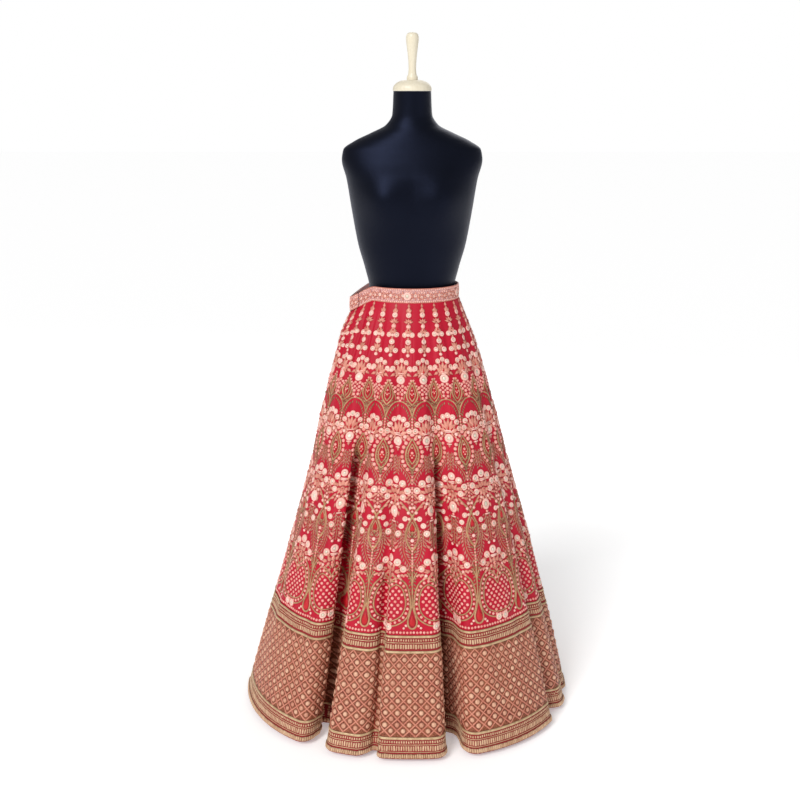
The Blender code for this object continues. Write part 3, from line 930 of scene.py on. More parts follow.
def leaves_on(places, pitch, wide, long, spread=42, both=True, offset=0.5,
              finish="gold_vines"):
    """Pairs of leaves along a path, pointing the way it runs."""
    x, slant = path(places, pitch)
    aim = np.degrees(np.arctan2(np.gradient(x), -np.gradient(slant)))
    for side in (-1, 1):
        away = np.radians(aim + side * 90)
        leaf_x = x + np.sin(away) * long * offset
        leaf_slant = slant - np.cos(away) * long * offset
        stamp(stitches[finish], leaf, leaf_x, leaf_slant, wide, long, LEAF_TALL,
              aim + side * spread, both)


def spray(places, pitch, wide, long, both=True):
    """A fern: a thin stem with pairs of peach leaves."""
    couch(stitches["gold_vines"], *path(places), STEM_WIDE, STEM_TALL, both)
    leaves_on(places, pitch, wide, long, 40, both, 0.42, "gold_petals")


print("a fern's leaves stand", LEAF_TALL * 1000, "mm high")

# %% Discs, petals, bars and fans
PETAL_TALL = 0.0032
MIRROR_FROM = 0.0125


def by_side(shares):
    """Which places are drawn on both sides of the middle, and which once."""
    inside = (shares > 0.001) & (shares < 0.999)
    return [(pick, both) for pick, both in ((inside, True), (~inside, False)) if pick.any()]


def discs_at(places):
    """Embroidered discs from (share, slant, diameter in mm): the larger ones hold a mirror."""
    places = np.array(places, float)
    x, slant = at_column(places[:, :2])
    size = places[:, 2] / 1000
    for pick, both in by_side(places[:, 0]):
        for large in (True, False):
            some = pick & ((size > MIRROR_FROM) == large)
            shapes = {"cream_discs": ring, "mirrors": mirror} if large else {"cream_discs": dot}
            for finish, shape in shapes.items():
                if some.any():
                    stamp(stitches[finish], shape, x[some], slant[some], size[some], size[some],
                          PETAL_TALL, 0, both)


def petals_at(places, shape=petal, finish="gold_petals", tall=PETAL_TALL):
    """Petals from (share, slant, width, length, turn to the right), in mm and degrees."""
    places = np.array(places, float)
    x, slant = at_column(places[:, :2])
    for pick, both in by_side(places[:, 0]):
        stamp(stitches[finish], shape, x[pick], slant[pick], places[pick, 2] / 1000,
              places[pick, 3] / 1000, tall, places[pick, 4], both)


def bars_at(places):
    """Short bars of cream thread across a column, from (slant, width, length in mm)."""
    petals_at([(0, slant, wide, long, 0) for slant, wide, long in places], bar, "cream_discs")


def fan_at(foot, half_wide, tall, turns, petal_size, tip_size=0, reach=0.56):
    """Petals that spread from a foot, with a disc at the tip of each, in mm and degrees."""
    half_column = 500 * column_width(foot / 1000)
    turn = np.radians(np.array(turns, float))
    across, up = half_wide * np.sin(turn), tall * np.cos(turn)
    petals_at([(reach * a / half_column, foot - reach * u, *petal_size,
                math.degrees(math.atan2(a, u))) for a, u in zip(across, up)])
    if tip_size:
        discs_at([(a / half_column, foot - u, tip_size) for a, u in zip(across, up)])


print("a disc from", MIRROR_FROM * 1000, "mm across holds a mirror")

# %% [markdown]
# ## The figured field
# Under the waistband hang twenty-four strands of drops and discs. Below them the figures
# stand in twenty columns, which widen with the cloth from 50 to about 140 mm: a fan blossom,
# a medallion between pointed leaves, two more blossoms, swags of discs under curved stems,
# and a large heart filled with a grid of dots. Places across are written as a share of a
# column's half width, so 1 is where it meets the next column.

# %% The strands, to 135 mm
petals_at([(0, 6.5, 7.5, 12, 0), (0, 17.5, 13.5, 16, 0), (0.24, 21, 7, 11, 38)])
discs_at([(0, 31, 14.5)])
fan_at(50, 12, 11.5, (0, 38, 74), (7.2, 12.5), 0, 0.62)
petals_at([(0, 53, 6, 7, 180), (0, 66, 15, 20, 0), (0.30, 72, 7, 13, 36)])
discs_at([(0, 58.5, 12.4), (0.48, 79, 13.8), (0, 80, 9)])
petals_at([(0, 87, 7, 9, 0)])
discs_at([(0, 96, 14.6)])
petals_at([(0, 109, 14, 18, 0), (0.24, 108, 7, 14, 28), (0, 121, 10, 11, 180)])
discs_at([(0.50, 117, 13.4), (0, 129, 9.5)])
petals_at([(0, 67, 5, 8, 0)], petal, "red_filling", 0.0040)
pattern.update(columns=20, shift=0.0)
print("figures in columns of", [round(float(column_width(s)) * 1000) for s in (0.15, 0.6, 0.8)],
      "mm")

# %% The first fan and its mirror, 136 to 196 mm
fan_at(177, 24, 36, (0, 31, 62), (13, 27), 13.5)
fan_at(177, 16, 25, (15, 46, 78), (9, 20))
petals_at([(0.62, 150, 6, 9, 50), (0.74, 177, 9, 15, 122), (0.40, 179, 7, 12, 148)])
petals_at([(0, 168, 5, 15, 0)], petal, "red_filling", 0.0044)
bars_at([(173, 18, 3.2), (177, 13, 3.0)])
discs_at([(0.86, 164, 11), (0, 189, 23.5)])
so_far("gold_petals")

# %% The medallion and the first pointed leaves, 190 to 275 mm
petals_at([(0.20, 203, 9, 9, 0), (0.44, 207, 8.5, 8.5, 0), (0.19, 213, 8.5, 8.5, 0),
           (0.42, 218, 8, 8, 0), (0.18, 223.5, 9, 9, 0), (0.17, 233, 9, 9, 0),
           (0, 208, 6.5, 6.5, 0), (0, 218.5, 6.5, 6.5, 0), (0, 239, 9, 8, 0)], dot, "beadwork",
          0.0036)
vine([(1, 188), (0.80, 202), (0.62, 216), (0.56, 228), (0.72, 240), (1, 250)], 0.0046)
vine([(1, 199), (0.84, 211), (0.76, 221), (0.79, 231), (1, 241)], 0.0036)
vine([(1, 278), (0.80, 259), (0.52, 247), (0.24, 242), (0, 241)], 0.0042)
vine([(0.62, 216), (0.40, 226), (0.34, 238)], 0.0032)
beads_on([(0.90, 190), (0.66, 203), (0.46, 218)], 0.0068, 0.0064)
petals_at([(1, 221, 12, 25, 0)], petal, "red_filling", 0.0036)
petals_at([(1, 214, 5.5, 5.5, 0), (1, 225, 6, 6, 0), (0.88, 222, 4.5, 4.5, 0)], bead, "beadwork",
          0.0056)
petals_at([(0.82, 251, 7, 18, -48), (0.62, 241, 6, 15, -60), (1, 260, 9, 20, 180),
           (0.92, 262, 6, 16, -32)], leaf, "gold_vines")
leaves_on([(0.26, 247), (0.56, 253), (0.80, 265), (0.95, 280)], 0.0066, 0.0050, 0.0115)
so_far("beadwork")

# %% The second blossom, 275 to 350 mm
fan_at(323, 29, 42, (0, 26, 52, 77), (14, 30), 15)
fan_at(323, 18, 28, (13, 39, 65), (9, 21))
petals_at([(0, 312, 6, 18, 0), (0.28, 314, 5, 14, 34)], petal, "red_filling", 0.0044)
bars_at([(318.5, 29, 3.6), (322.5, 22, 3.2), (352.5, 14, 3.4)])
discs_at([(0.52, 327, 10.5), (0, 338, 24.5)])
petals_at([(0.30, 330, 7, 12, 140), (0.74, 326, 8, 14, 118), (0, 358, 8, 11, 180),
           (0.50, 336, 7, 12, 150), (0.86, 316, 7, 13, 62), (0.62, 300, 7, 13, 44)])
vine([(1, 278), (1, 300), (1, 324)], 0.0036, False)
beads_on([(1, 284), (1, 320)], 0.0078, 0.0060, False)
leaves_on([(1, 282), (1, 320)], 0.0078, 0.0056, 0.0130, 42, False)
so_far("red_filling")

# %% The pointed leaves, 322 to 440 mm
beads_on([(0.97, 322), (0.70, 336), (0.44, 353), (0.36, 371), (0.46, 390), (0.72, 406)],
         0.0122, 0.0110)
vine([(1, 331), (0.80, 345), (0.63, 360), (0.59, 374), (0.69, 390), (1, 405)], 0.0050)
vine([(1, 343), (0.86, 354), (0.75, 366), (0.78, 380), (1, 393)], 0.0040)
petals_at([(1, 368, 17, 30, 0)], petal, "red_filling", 0.0036)
petals_at([(1, 354, 6, 6, 0), (1, 366, 9, 9, 0), (1, 378, 6, 6, 0), (0.90, 372, 5, 5, 0)],
          bead, "beadwork", 0.0056)
petals_at([(0.84, 397, 7, 20, -42), (0.90, 407, 7, 19, -34), (1, 414, 10, 22, 180),
           (0.72, 386, 6, 16, -46), (0.62, 352, 5, 13, 38)], leaf, "gold_vines")
leaves_on([(0.54, 360), (0.56, 384), (0.82, 404)], 0.0068, 0.0048, 0.0115)
spray([(0.34, 398), (0.56, 408), (0.80, 422), (0.95, 440)], 0.0078, 0.0062, 0.0140)
spray([(0, 376), (0, 416)], 0.0085, 0.0066, 0.0150, False)
spray([(0.24, 378), (0.20, 404)], 0.0085, 0.0056, 0.0120)
beads_on([(1, 424), (1, 450)], 0.0075, 0.0060, False)
so_far("gold_vines")

# %% The third blossom and its great mirror, 425 to 535 mm
discs_at([(0, 432, 20.5), (0.44, 441, 19), (0.74, 458, 18), (0.50, 474, 17), (0.24, 490, 9)])
petals_at([(0, 455, 15, 22, 0), (0.22, 457, 12, 21, 30), (0.42, 461, 10, 18, 56),
           (0.30, 474, 10, 18, 96), (0.20, 481, 9, 17, 146), (0, 484, 12, 18, 180),
           (0.44, 489, 8, 15, 128), (0.74, 474, 8, 14, 66), (0.66, 484, 7, 13, 100),
           (0.30, 445, 8, 15, 40), (0.58, 446, 8, 15, 60), (0.60, 462, 9, 16, 78),
           (0.88, 468, 8, 15, 64), (0.12, 494, 8, 15, 165), (0.58, 498, 8, 15, 118),
           (0.84, 486, 8, 15, 104), (0.34, 499, 8, 15, 150), (0.30, 514, 7, 13, 170)])
petals_at([(0, 472, 14, 14, 0)], dot, "gold_petals", 0.0042)
petals_at([(0, 472, 6, 6, 0)], bead, "red_filling", 0.0052)
bars_at([(446, 19, 3.6), (449.5, 15, 3.2)])
petals_at([(0, 509, 25, 31, 0)], ring, "cream_discs", 0.0036)
petals_at([(0, 509, 26, 32, 0)], mirror, "mirrors", 0.0036)
petals_at([(0, 527, 8, 8, 0)], dot, "beadwork", 0.0036)
bars_at([(533, 16, 3.6)])
beads_on([(1, 454), (1, 508)], 0.0090, 0.0072, False)
spray([(1, 452), (1, 512)], 0.0088, 0.0068, 0.0160, False)
so_far("mirrors")

# %% The swags and the curved stems, 495 to 625 mm
discs_at([(0.90, 499, 8.5), (0.80, 511, 9), (0.64, 526, 13.8), (0.46, 543, 14.5),
          (0.32, 562, 16.5), (0.84, 526, 8), (1, 578, 10)])
vine([(0.40, 487), (0.68, 501), (1, 520)], 0.0062)
vine([(1, 520), (0.80, 541), (0.68, 563), (0.76, 583), (1, 604)], 0.0062)
vine([(1, 533), (0.86, 548), (0.88, 561), (1, 557)], 0.0038)
petals_at([(0.24, 583, 8, 18, 62), (0.30, 593, 7, 16, 40)])
petals_at([(1, 545, 14, 23, 0)], petal, "red_filling", 0.0036)
petals_at([(1, 562, 10, 17, 180), (0.90, 568, 8, 15, 140), (0.84, 589, 7, 15, -30),
           (1, 614, 10, 20, 180), (0.88, 606, 7, 15, -38)], leaf, "gold_vines")
spray([(0.66, 566), (0.58, 588), (0.66, 612), (0.96, 642)], 0.0082, 0.0070, 0.0165)
spray([(0.96, 536), (0.80, 552), (0.74, 574), (0.86, 598)], 0.0076, 0.0058, 0.0125)
spray([(0.50, 556), (0.46, 574), (0.50, 592)], 0.0080, 0.0056, 0.0125)
spray([(0, 540), (0, 600)], 0.0085, 0.0070, 0.0160, False)
spray([(0.16, 534), (0.14, 560), (0.22, 580)], 0.0085, 0.0056, 0.0120)
beads_on([(1, 588), (1, 650)], 0.0080, 0.0062, False)
so_far("cream_discs")

# %% The fourth blossom, 600 to 680 mm
discs_at([(0, 622, 21), (0.36, 631, 19), (0.62, 647, 18), (0.16, 603, 8), (0.44, 664, 9)])
petals_at([(0, 644, 14, 20, 0), (0.20, 646, 11, 18, 32), (0.38, 651, 9, 17, 60),
           (0.22, 663, 9, 17, 150), (0, 666, 12, 16, 180), (0.44, 655, 8, 16, 84),
           (0.26, 636, 8, 15, 34), (0.52, 639, 8, 15, 58), (0.62, 662, 8, 15, 96),
           (0.12, 677, 8, 14, 172), (0.34, 672, 8, 14, 150), (0.52, 670, 8, 14, 118),
           (0.80, 648, 8, 15, 70), (0.76, 662, 7, 13, 100)])
bars_at([(635, 20, 3.6), (638.5, 16, 3.2)])
petals_at([(0, 656, 12, 12, 0)], dot, "gold_petals", 0.0042)
petals_at([(0, 656, 5.5, 5.5, 0)], bead, "red_filling", 0.0052)
vine([(0.06, 670), (0.20, 662), (0.33, 667), (0.30, 678), (0.18, 677)], 0.0040)
beads_on([(0.54, 672), (0.68, 664), (0.80, 664)], 0.0074, 0.0062)
so_far("gold_petals")

# %% [markdown]
# ### The hearts
# The hearts over the border are the largest figures. Each is drawn with a pair of vines, a row
# of leaves and beads between them, and inside is a grid of dots, each row shifted by half a
# step. A dot is kept where it falls a little inside the inner vine, found by counting how often
# a line to its right crosses that outline. Between the hearts hang gold loops filled with red.

# %% The hearts, 668 to 790 mm
heart_outer = [(0, 693), (0.10, 680), (0.38, 669), (0.70, 680), (0.90, 710), (0.93, 738),
               (0.78, 766), (0.44, 782), (0, 787)]
heart_inner = [(0, 706), (0.13, 693), (0.38, 685), (0.59, 694), (0.72, 715), (0.74, 738),
               (0.60, 759), (0.33, 771), (0, 775)]
vine(heart_outer, 0.0046)
vine(heart_inner, 0.0040)
beads_on([(0.06, 692), (0.38, 677), (0.65, 687), (0.81, 712), (0.835, 738), (0.69, 762),
          (0.38, 776), (0.06, 781)], 0.0112, 0.0082)
leaves_on([(0.20, 683), (0.52, 679), (0.75, 698), (0.84, 725), (0.78, 752), (0.56, 770)],
          0.0105, 0.0040, 0.0100, 40, True, 0.35)


def inside_line(x, y, line_x, line_y):
    """Whether points lie inside a closed line."""
    crossings = np.zeros(len(x), int)
    for ax, ay, bx, by in zip(line_x, line_y, np.roll(line_x, -1), np.roll(line_y, -1)):
        spans = (ay > y) != (by > y)
        crossings += spans & (x < ax + (bx - ax) * (y - ay) / (by - ay + 1e-12))
    return crossings % 2 == 1


half_x, half_y = path(heart_inner)
INSIDE_VINE = 0.90
DOTS_APART = 0.015
DOT_ROWS_APART = 0.0085
outline_x = np.concatenate([half_x, -half_x[::-1]]) * INSIDE_VINE
outline_y = np.concatenate([half_y, half_y[::-1]])
dot_rows = np.arange(0.692, 0.774, DOT_ROWS_APART)
dots = np.array([(x + DOTS_APART / 2 * (number % 2), y) for number, y in enumerate(dot_rows)
                 for x in np.arange(-4.5, 5) * DOTS_APART])
dots = dots[inside_line(dots[:, 0], dots[:, 1], outline_x, outline_y)]
stamp(stitches["beadwork"], bead, dots[:, 0], dots[:, 1], 0.0086, 0.0086, 0.0028)
print("dots in a heart:", len(dots))

# %% The loops, the twin discs and the row of dots
discs_at([(0.15, 787, 19.5)])
vine([(1, 733), (0.90, 756), (0.84, 773), (0.90, 788), (1, 791)], 0.0054)
petals_at([(1, 769, 18, 36, 0)], petal, "red_filling", 0.0030)
vine([(1, 602), (1, 640), (1, 690), (1, 734)], 0.0044, False)
vine([(1, 690), (0.93, 668), (0.80, 655)], 0.0038)
leaves_on([(1, 640), (1, 690), (1, 732)], 0.0095, 0.0056, 0.0135, 40, False, 0.45)
leaves_on([(0.95, 668), (0.84, 657)], 0.0080, 0.0044, 0.0100)
discs_at([(0.78, 783, 7), (0.70, 789, 7)])
edge_slant = slant_at_row(TOP_TRIM_ROW)
DOTS_IN_COLUMN = 17
dot_shares = (np.arange(DOTS_IN_COLUMN) + 0.5) / DOTS_IN_COLUMN - 0.5
dot_x = dot_shares * float(column_width(edge_slant))
stamp(stitches["beadwork"], bead, dot_x, edge_slant - 0.0062, 0.0074, 0.0076, 0.0032)
print("the border starts at", round(edge_slant * 1000), "mm")

# %% [markdown]
# ## Gold thread, beads and mirrors
# Real zari thread is silk wound with gilt strip, so it is half way between a metal and a
# cloth: it keeps its colour but has a soft shine. The petals are of a rosy gold and the vines
# of an antique one. Each finish is painted dark at a shape's rim, as painted shade where the
# thread dips to the cloth and as a darker outline thread, takes the tone of its own copy, and
# has noise on the Object coordinates for the patches and the single stitches. The small
# mirrors are glass, so they are smoother and greyer than what surrounds them.

# %% What every thread's finish has


def attribute(value, name):
    """A number that each point of a mesh carries."""
    return value.add("ShaderNodeAttribute", {"attribute_name": name}, {}, "Fac")


def thread_finish(name, edge, dark, light, roughness, metallic, grain=420.0, lift=0.0004):
    """Metal thread: painted shade and darker thread at its rim, a tone for each copy, grain over
    that.
    """
    material, place, _ = start_finish(name, roughness, metallic, sheen_tint=light, specular=0.35)
    stitch = place.noise(grain, 2.0, 0.6).contrast(2.0)
    patches = place.noise(55.0, 2.0, 0.6).contrast(1.6)
    tone = attribute(place, "tone") * 0.45 + patches * 0.3 + stitch * 0.25
    body = tone.blend(dark, light)
    # the edge colour, where rim is 0, is painted shade and a darker outline thread
    colour_it(material, attribute(place, "rim").blend(edge, body))
    bump_it(material, stitch, lift)
    return material


print("finishes to make:", len(stitches))

# %% Finish the field's needlework
# each finish's first colour is the painted shade at its rims
rosy_gold = thread_finish("rosy_gold_thread", linear(118, 36, 32), linear(186, 100, 82),
                          linear(244, 174, 154), 0.45, 0.15)
antique_gold = thread_finish("antique_gold_thread", linear(80, 42, 26), linear(148, 98, 64),
                             linear(216, 170, 128), 0.42, 0.25)
cream_thread = thread_finish("cream_thread", linear(176, 94, 84), linear(238, 172, 156),
                             linear(255, 214, 202), 0.42, 0.05)
peach_bead = thread_finish("peach_bead", linear(156, 40, 52), linear(228, 130, 116),
                           linear(250, 190, 178), 0.32, 0.05)
deep_silk = thread_finish("deep_silk", linear(120, 4, 16), linear(172, 8, 26),
                          linear(206, 34, 40), 0.50, 0.0)
mirror_glass = thread_finish("mirror_glass", linear(176, 160, 134), linear(206, 198, 174),
                             linear(246, 240, 224), 0.20, 0.1, 200.0, 0.0001)
FIELD_FINISHES = {"gold_petals": rosy_gold, "gold_vines": antique_gold,
                  "cream_discs": cream_thread, "mirrors": mirror_glass, "beadwork": peach_bead,
                  "red_filling": deep_silk}
field_pieces = [joined(name, stitches[name], finish, "red_silk")
                for name, finish in FIELD_FINISHES.items()]

# %% [markdown]
# ## The hem border
# The border is a separate strip of cloth, laid over the silk from about 30 cm up. Its middle
# is a trellis: peach threads cross into diamonds over copper-red satin, and a round disc is
# sewn in each diamond. Above and below it run woven trims, with ladders of little gold bars
# that leave squares of red between them. The hem's own edge is a row of fatter bars.

# %% The border's cloths
ground, ground_place, ground_uv = start_finish("copper_red_satin", metallic=0.05, specular=0.3)
ground_weave = ground_uv.stretched((1500, 500, 1)).noise(1.0, 2.0, 0.6)
ground_tone = ground_place.noise(34.0, 3.0, 0.6).contrast(2.2)
ground_flecks = ground_place.noise(330.0, 1.0, 0.5).contrast(3.0, 0.4)
ground_body = ground_tone.blend(linear(98, 32, 28), linear(128, 68, 42))
colour_it(ground, (ground_flecks * 0.75).blend(ground_body, linear(166, 106, 74)))
bump_it(ground, ground_weave, 0.0003)
trim_cloth, _, trim_uv = start_finish("red_trim_ground", roughness=0.6, specular=0.3)
trim_weave = trim_uv.stretched((1200, 1200, 1)).noise(1.0, 2.0, 0.6).contrast(2.0)
colour_it(trim_cloth, trim_weave.blend(linear(104, 22, 24), linear(176, 44, 48)))
bump_it(trim_cloth, trim_weave, 0.0003)
print("nodes of the trellis cloth:", len(ground.node_tree.nodes))

# %% Lay the border's strips
TOP_TRIM = slant_at_row(TOP_TRIM_ROW)
LATTICE_TOP = slant_at_row(LATTICE_ROW)
HEM_TRIM = slant_at_row(HEM_TRIM_ROW)
STRIP_OUT = 0.0014
STRIP_THICK = 0.0010
STRIP_GAP = 0.0003
ring_shares = np.linspace(0, 1, 481)
strips = []
for name, top, foot, down, material in (("top_trim", TOP_TRIM, LATTICE_TOP, 5, trim_cloth),
                                        ("border_lattice", LATTICE_TOP, HEM_TRIM, 17, ground),
                                        ("hem_trim", HEM_TRIM, SLANT_END, 6, trim_cloth)):
    strip = laid_sheet(f"{name}_cloth", ring_shares, np.linspace(0, 1, down), on_cloth, 0.0, 1.0,
                       top + STRIP_GAP, foot - STRIP_GAP, STRIP_OUT, STRIP_THICK, material)
    settle(strip, "border_lattice" if name == "border_lattice" else "gold_trim", name)
    strips.append(strip)

# %% The trellis


def on_border(around, slant, out):
    """The face of the border's strips."""
    return on_cloth(around, slant, out + STRIP_OUT)


CELLS = 6
CELLS_DOWN = 7
CELL_SHIFT = 0.25
CELL_TALL = (HEM_TRIM - LATTICE_TOP) / CELLS_DOWN
THREAD_WIDE = 0.0042
THREAD_TALL = 0.0012
CROSSES_OVER = 0.0004
DISC_WIDE = 0.0128
DISC_LONG = 0.0134
DISC_TALL = 0.0040
threads_work, discs_work = [], []
trellis_slant = np.linspace(LATTICE_TOP, HEM_TRIM, 40)
for line in range(CELLS):
    for lean in (-1, 1):
        cells_across = line + CELL_SHIFT + lean * (trellis_slant - LATTICE_TOP) / CELL_TALL
        x = (cells_across / CELLS - 0.5) * column_width(trellis_slant)
        couch(threads_work, x, trellis_slant, THREAD_WIDE, THREAD_TALL + CROSSES_OVER * lean,
              False, on_border)
for half_row in range(1, 2 * CELLS_DOWN):
    slant = LATTICE_TOP + half_row * CELL_TALL / 2
    cells_across = np.arange(CELLS) + CELL_SHIFT + 0.5 * ((half_row + 1) % 2)
    x = (cells_across / CELLS - 0.5) * float(column_width(slant))
    stamp(discs_work, boss, x, slant, DISC_WIDE, DISC_LONG, DISC_TALL, surface=on_border)
trellis_thread = thread_finish("trellis_thread", linear(112, 26, 28), linear(178, 94, 76),
                               linear(224, 154, 128), 0.45, 0.05)
trellis_disc = thread_finish("trellis_disc", linear(98, 18, 22), linear(180, 102, 80),
                             linear(238, 196, 164), 0.40, 0.1)
border_pieces = [joined("lattice_threads", threads_work, trellis_thread, "border_lattice"),
                 joined("lattice_discs", discs_work, trellis_disc, "border_lattice")]

# %% The trims
ROPE_POINTS = 31
trim_gold_work, trim_cord_work = [], []


def rope(work, slant, width, tall):
    """A cord all round the border at one slant."""
    x = np.linspace(-0.5, 0.5, ROPE_POINTS) * float(column_width(slant))
    couch(work, x, np.full(ROPE_POINTS, slant), width, tall, False, on_border)


def ladder(work, slant, count, wide, long, tall=0.0016):
    """A row of little bars, so many to a column."""
    x = ((np.arange(count) + 0.5) / count - 0.5) * float(column_width(slant))
    stamp(work, bar, x, slant, wide, long, tall, surface=on_border)


# for each trim: its cords, as (offset, width, height), and its ladders, as (offset, bars to a
# column, width, length)
TRIMS = (
    (TOP_TRIM,
     ((0.0040, 0.0070, 0.0026), (0.0186, 0.0026, 0.0014), (0.0410, 0.0072, 0.0026)),
     ((0.0124, 24, 0.0036, 0.0060), (0.0276, 24, 0.0046, 0.0118))),
    (HEM_TRIM,
     ((0.0040, 0.0078, 0.0028), (0.0188, 0.0024, 0.0014), (0.0364, 0.0022, 0.0014)),
     ((0.0126, 32, 0.0036, 0.0062), (0.0276, 32, 0.0044, 0.0130))),
)
for edge, cords, ladders in TRIMS:
    for offset, width, tall in cords:
        rope(trim_cord_work, edge + offset, width, tall)
    for offset, count, wide, long in ladders:
        ladder(trim_gold_work, edge + offset, count, wide, long)
ladder(trim_gold_work, HEM_TRIM + 0.0460, 36, 0.0048, 0.0110, 0.0036)
bar_gold = thread_finish("pale_gold_bars", linear(92, 50, 34), linear(176, 128, 94),
                         linear(232, 196, 160), 0.42, 0.15)
cord_gold = thread_finish("pale_gold_cord", linear(104, 68, 40), linear(166, 126, 90),
                          linear(230, 202, 160), 0.42, 0.2)
border_pieces += [joined("trim_bars", trim_gold_work, bar_gold, "gold_trim"),
                  joined("trim_cords", trim_cord_work, cord_gold, "gold_trim")]

# %% [markdown]
# ## The waistband
# The band is stiff and upright, and its embroidery covers it edge to edge: discs, beads and
# leaves in rose gold. It is an open strip, whose end laps over its start at the side opening,
# so it isn't a closed ring like the border. It uses the same stamps on a surface of its own.

# %% The band's cloth
BAND_TALL = 0.034
BAND_LAP = 0.030
LAP_RISE = 0.030
LAP_OUT = 0.0036
BAND_OUT = -0.0004
BAND_THICK = 0.0022
BAND_FOOT = -0.0004
NEARBY = 0.002
waist_length = float(RING_LENGTHS[0])
band_end = SIDE_OPENING + 1.0 + BAND_LAP / waist_length


def on_band(around, slant, out):
    """The upright band: a slant above the seam is negative."""
    around, slant, out = np.broadcast_arrays(around, slant, out)
    foot = on_cloth(around, np.zeros(around.shape))
    ahead = on_cloth(around + NEARBY, np.zeros(around.shape))
    behind = on_cloth(around - NEARBY, np.zeros(around.shape))
    along = unit((ahead - behind) * [1, 1, 0])
    outward = np.stack([along[..., 1], -along[..., 0], np.zeros(around.shape)], axis=-1)
    lap_start = SIDE_OPENING + 1.0 - LAP_RISE / waist_length
    lapped = LAP_OUT * ease((around - lap_start) * waist_length / LAP_RISE)
    rise = np.stack([np.zeros(around.shape), np.zeros(around.shape), -slant], axis=-1)
    return foot + rise + outward * (out + lapped)[..., None]


band_cloth, band_place, band_uv = start_finish("rose_gold_band", metallic=0.15, sheen=0.2)
band_weave = band_uv.stretched((900, 900, 1)).noise(1.0, 2.0, 0.6)
band_tone = band_place.noise(70.0, 2.0, 0.6)
band_body = band_tone * 0.6 + band_weave * 0.4
colour_it(band_cloth, band_body.blend(linear(186, 122, 122), linear(236, 188, 184)))
bump_it(band_cloth, band_weave, 0.0004)
band = laid_sheet("waistband_cloth", np.linspace(0, 1, 193), np.linspace(0, 1, 7), on_band,
                  SIDE_OPENING, band_end, -BAND_TALL, BAND_FOOT, BAND_OUT, BAND_THICK, band_cloth)
settle(band, "waistband_gold", "waistband")

# %% Rows on the band
BAND_PARTS = 25
part_length = (waist_length + BAND_LAP) / BAND_PARTS
half_part = part_length / 2
band_middles = SIDE_OPENING + (np.arange(1, BAND_PARTS) + 0.5) * part_length / waist_length


def band_stamp(work, shape, places, tall):
    """Stamps on each part of the band, from (share of its half length, height in mm, width and
    length in mm, turn in degrees)."""
    places = np.array(places, float)
    stamp(work, shape, places[:, 0] * half_part, -places[:, 1] / 1000, places[:, 2] / 1000,
          places[:, 3] / 1000, tall, places[:, 4], False, on_band, band_middles)


def band_row(work, shape, height, count, size, tall):
    """A row of one shape along the band."""
    shares = (np.arange(count) + 0.5) / count * 2 - 1
    band_stamp(work, shape, [(s, height, size, size, 0) for s in shares], tall)


print("one part of the band:", round(part_length * 1000, 1), "mm")

# %% Embroider the band
band_gold, band_cream, band_mirror = [], [], []
band_row(band_cream, bead, 2.6, 6, 4.8, 0.0022)
band_row(band_cream, bead, 31.4, 6, 4.6, 0.0022)
for share, height, size, reach in ((-0.46, 17.0, 9.5, 8.6), (0.54, 14.5, 7.5, 7.2)):
    for work, shape, tall in ((band_cream, ring, 0.0028), (band_mirror, mirror, 0.0028)):
        band_stamp(work, shape, [(share, height, size, size, 0)], tall)
    turns = np.arange(0, 360, 60) + 30 * (share > 0)
    band_stamp(band_gold, petal, [(share + reach * math.sin(math.radians(t)) / 1000 / half_part,
                                   height + reach * math.cos(math.radians(t)), 5.4, 8.2, t)
                                  for t in turns], LEAF_TALL)
band_stamp(band_cream, petal, [(0.54, 26.5, 6.0, 7.5, 0), (0.06, 25.5, 4.5, 8.5, -35),
                               (0.98, 25.0, 4.5, 8.5, 35), (0.08, 7.5, 4.5, 7.5, 145),
                               (0.98, 7.0, 4.5, 7.5, -145)], 0.0024)
band_stamp(band_cream, bead, [(0.04, 16.5, 4.0, 4.0, 0), (-0.96, 13.0, 4.0, 4.0, 0),
                              (-0.96, 21.0, 4.0, 4.0, 0), (0.28, 27.5, 3.4, 3.4, 0),
                              (0.80, 28.0, 3.4, 3.4, 0)], 0.0022)

# four larger discs, as (place round the band, height in mm, diameter in mm)
for disc_at, disc_height, disc_size in ((0.484, 16.5, 21.0), (0.683, 17.0, 20.0),
                                        (0.921, 16.0, 21.0), (1.163, 17.0, 20.0)):
    for work, shape, tall in ((band_cream, ring, 0.0036), (band_mirror, mirror, 0.0040)):
        stamp(work, shape, 0.0, -disc_height / 1000, disc_size / 1000, disc_size / 1000, tall,
              surface=on_band, middles=np.array([disc_at]))

# a cord along each edge
edge_x = np.linspace(-1, 1, 13) * half_part
for height in (0.0, BAND_TALL):
    couch(band_gold, edge_x, np.full(len(edge_x), -height), 0.0026, 0.0016, False, on_band,
          band_middles)
band_pieces = [joined("band_threadwork", band_gold, rosy_gold, "waistband_gold"),
               joined("band_rings", band_cream, cream_thread, "waistband_gold"),
               joined("band_mirrors", band_mirror, mirror_glass, "waistband_gold")]

# %% [markdown]
# ## The dress form
# The form is a moulded body in a black jersey cover. A grid is rolled into a tube, each level
# takes its own half sizes, and two lobes give the bust. The jersey is a fine knit that lies
# tight and smooth. Its highlight is tinted, so it is bluish where it faces the light. The
# front of the neck, where such a form often has its maker's mark, is left bare.

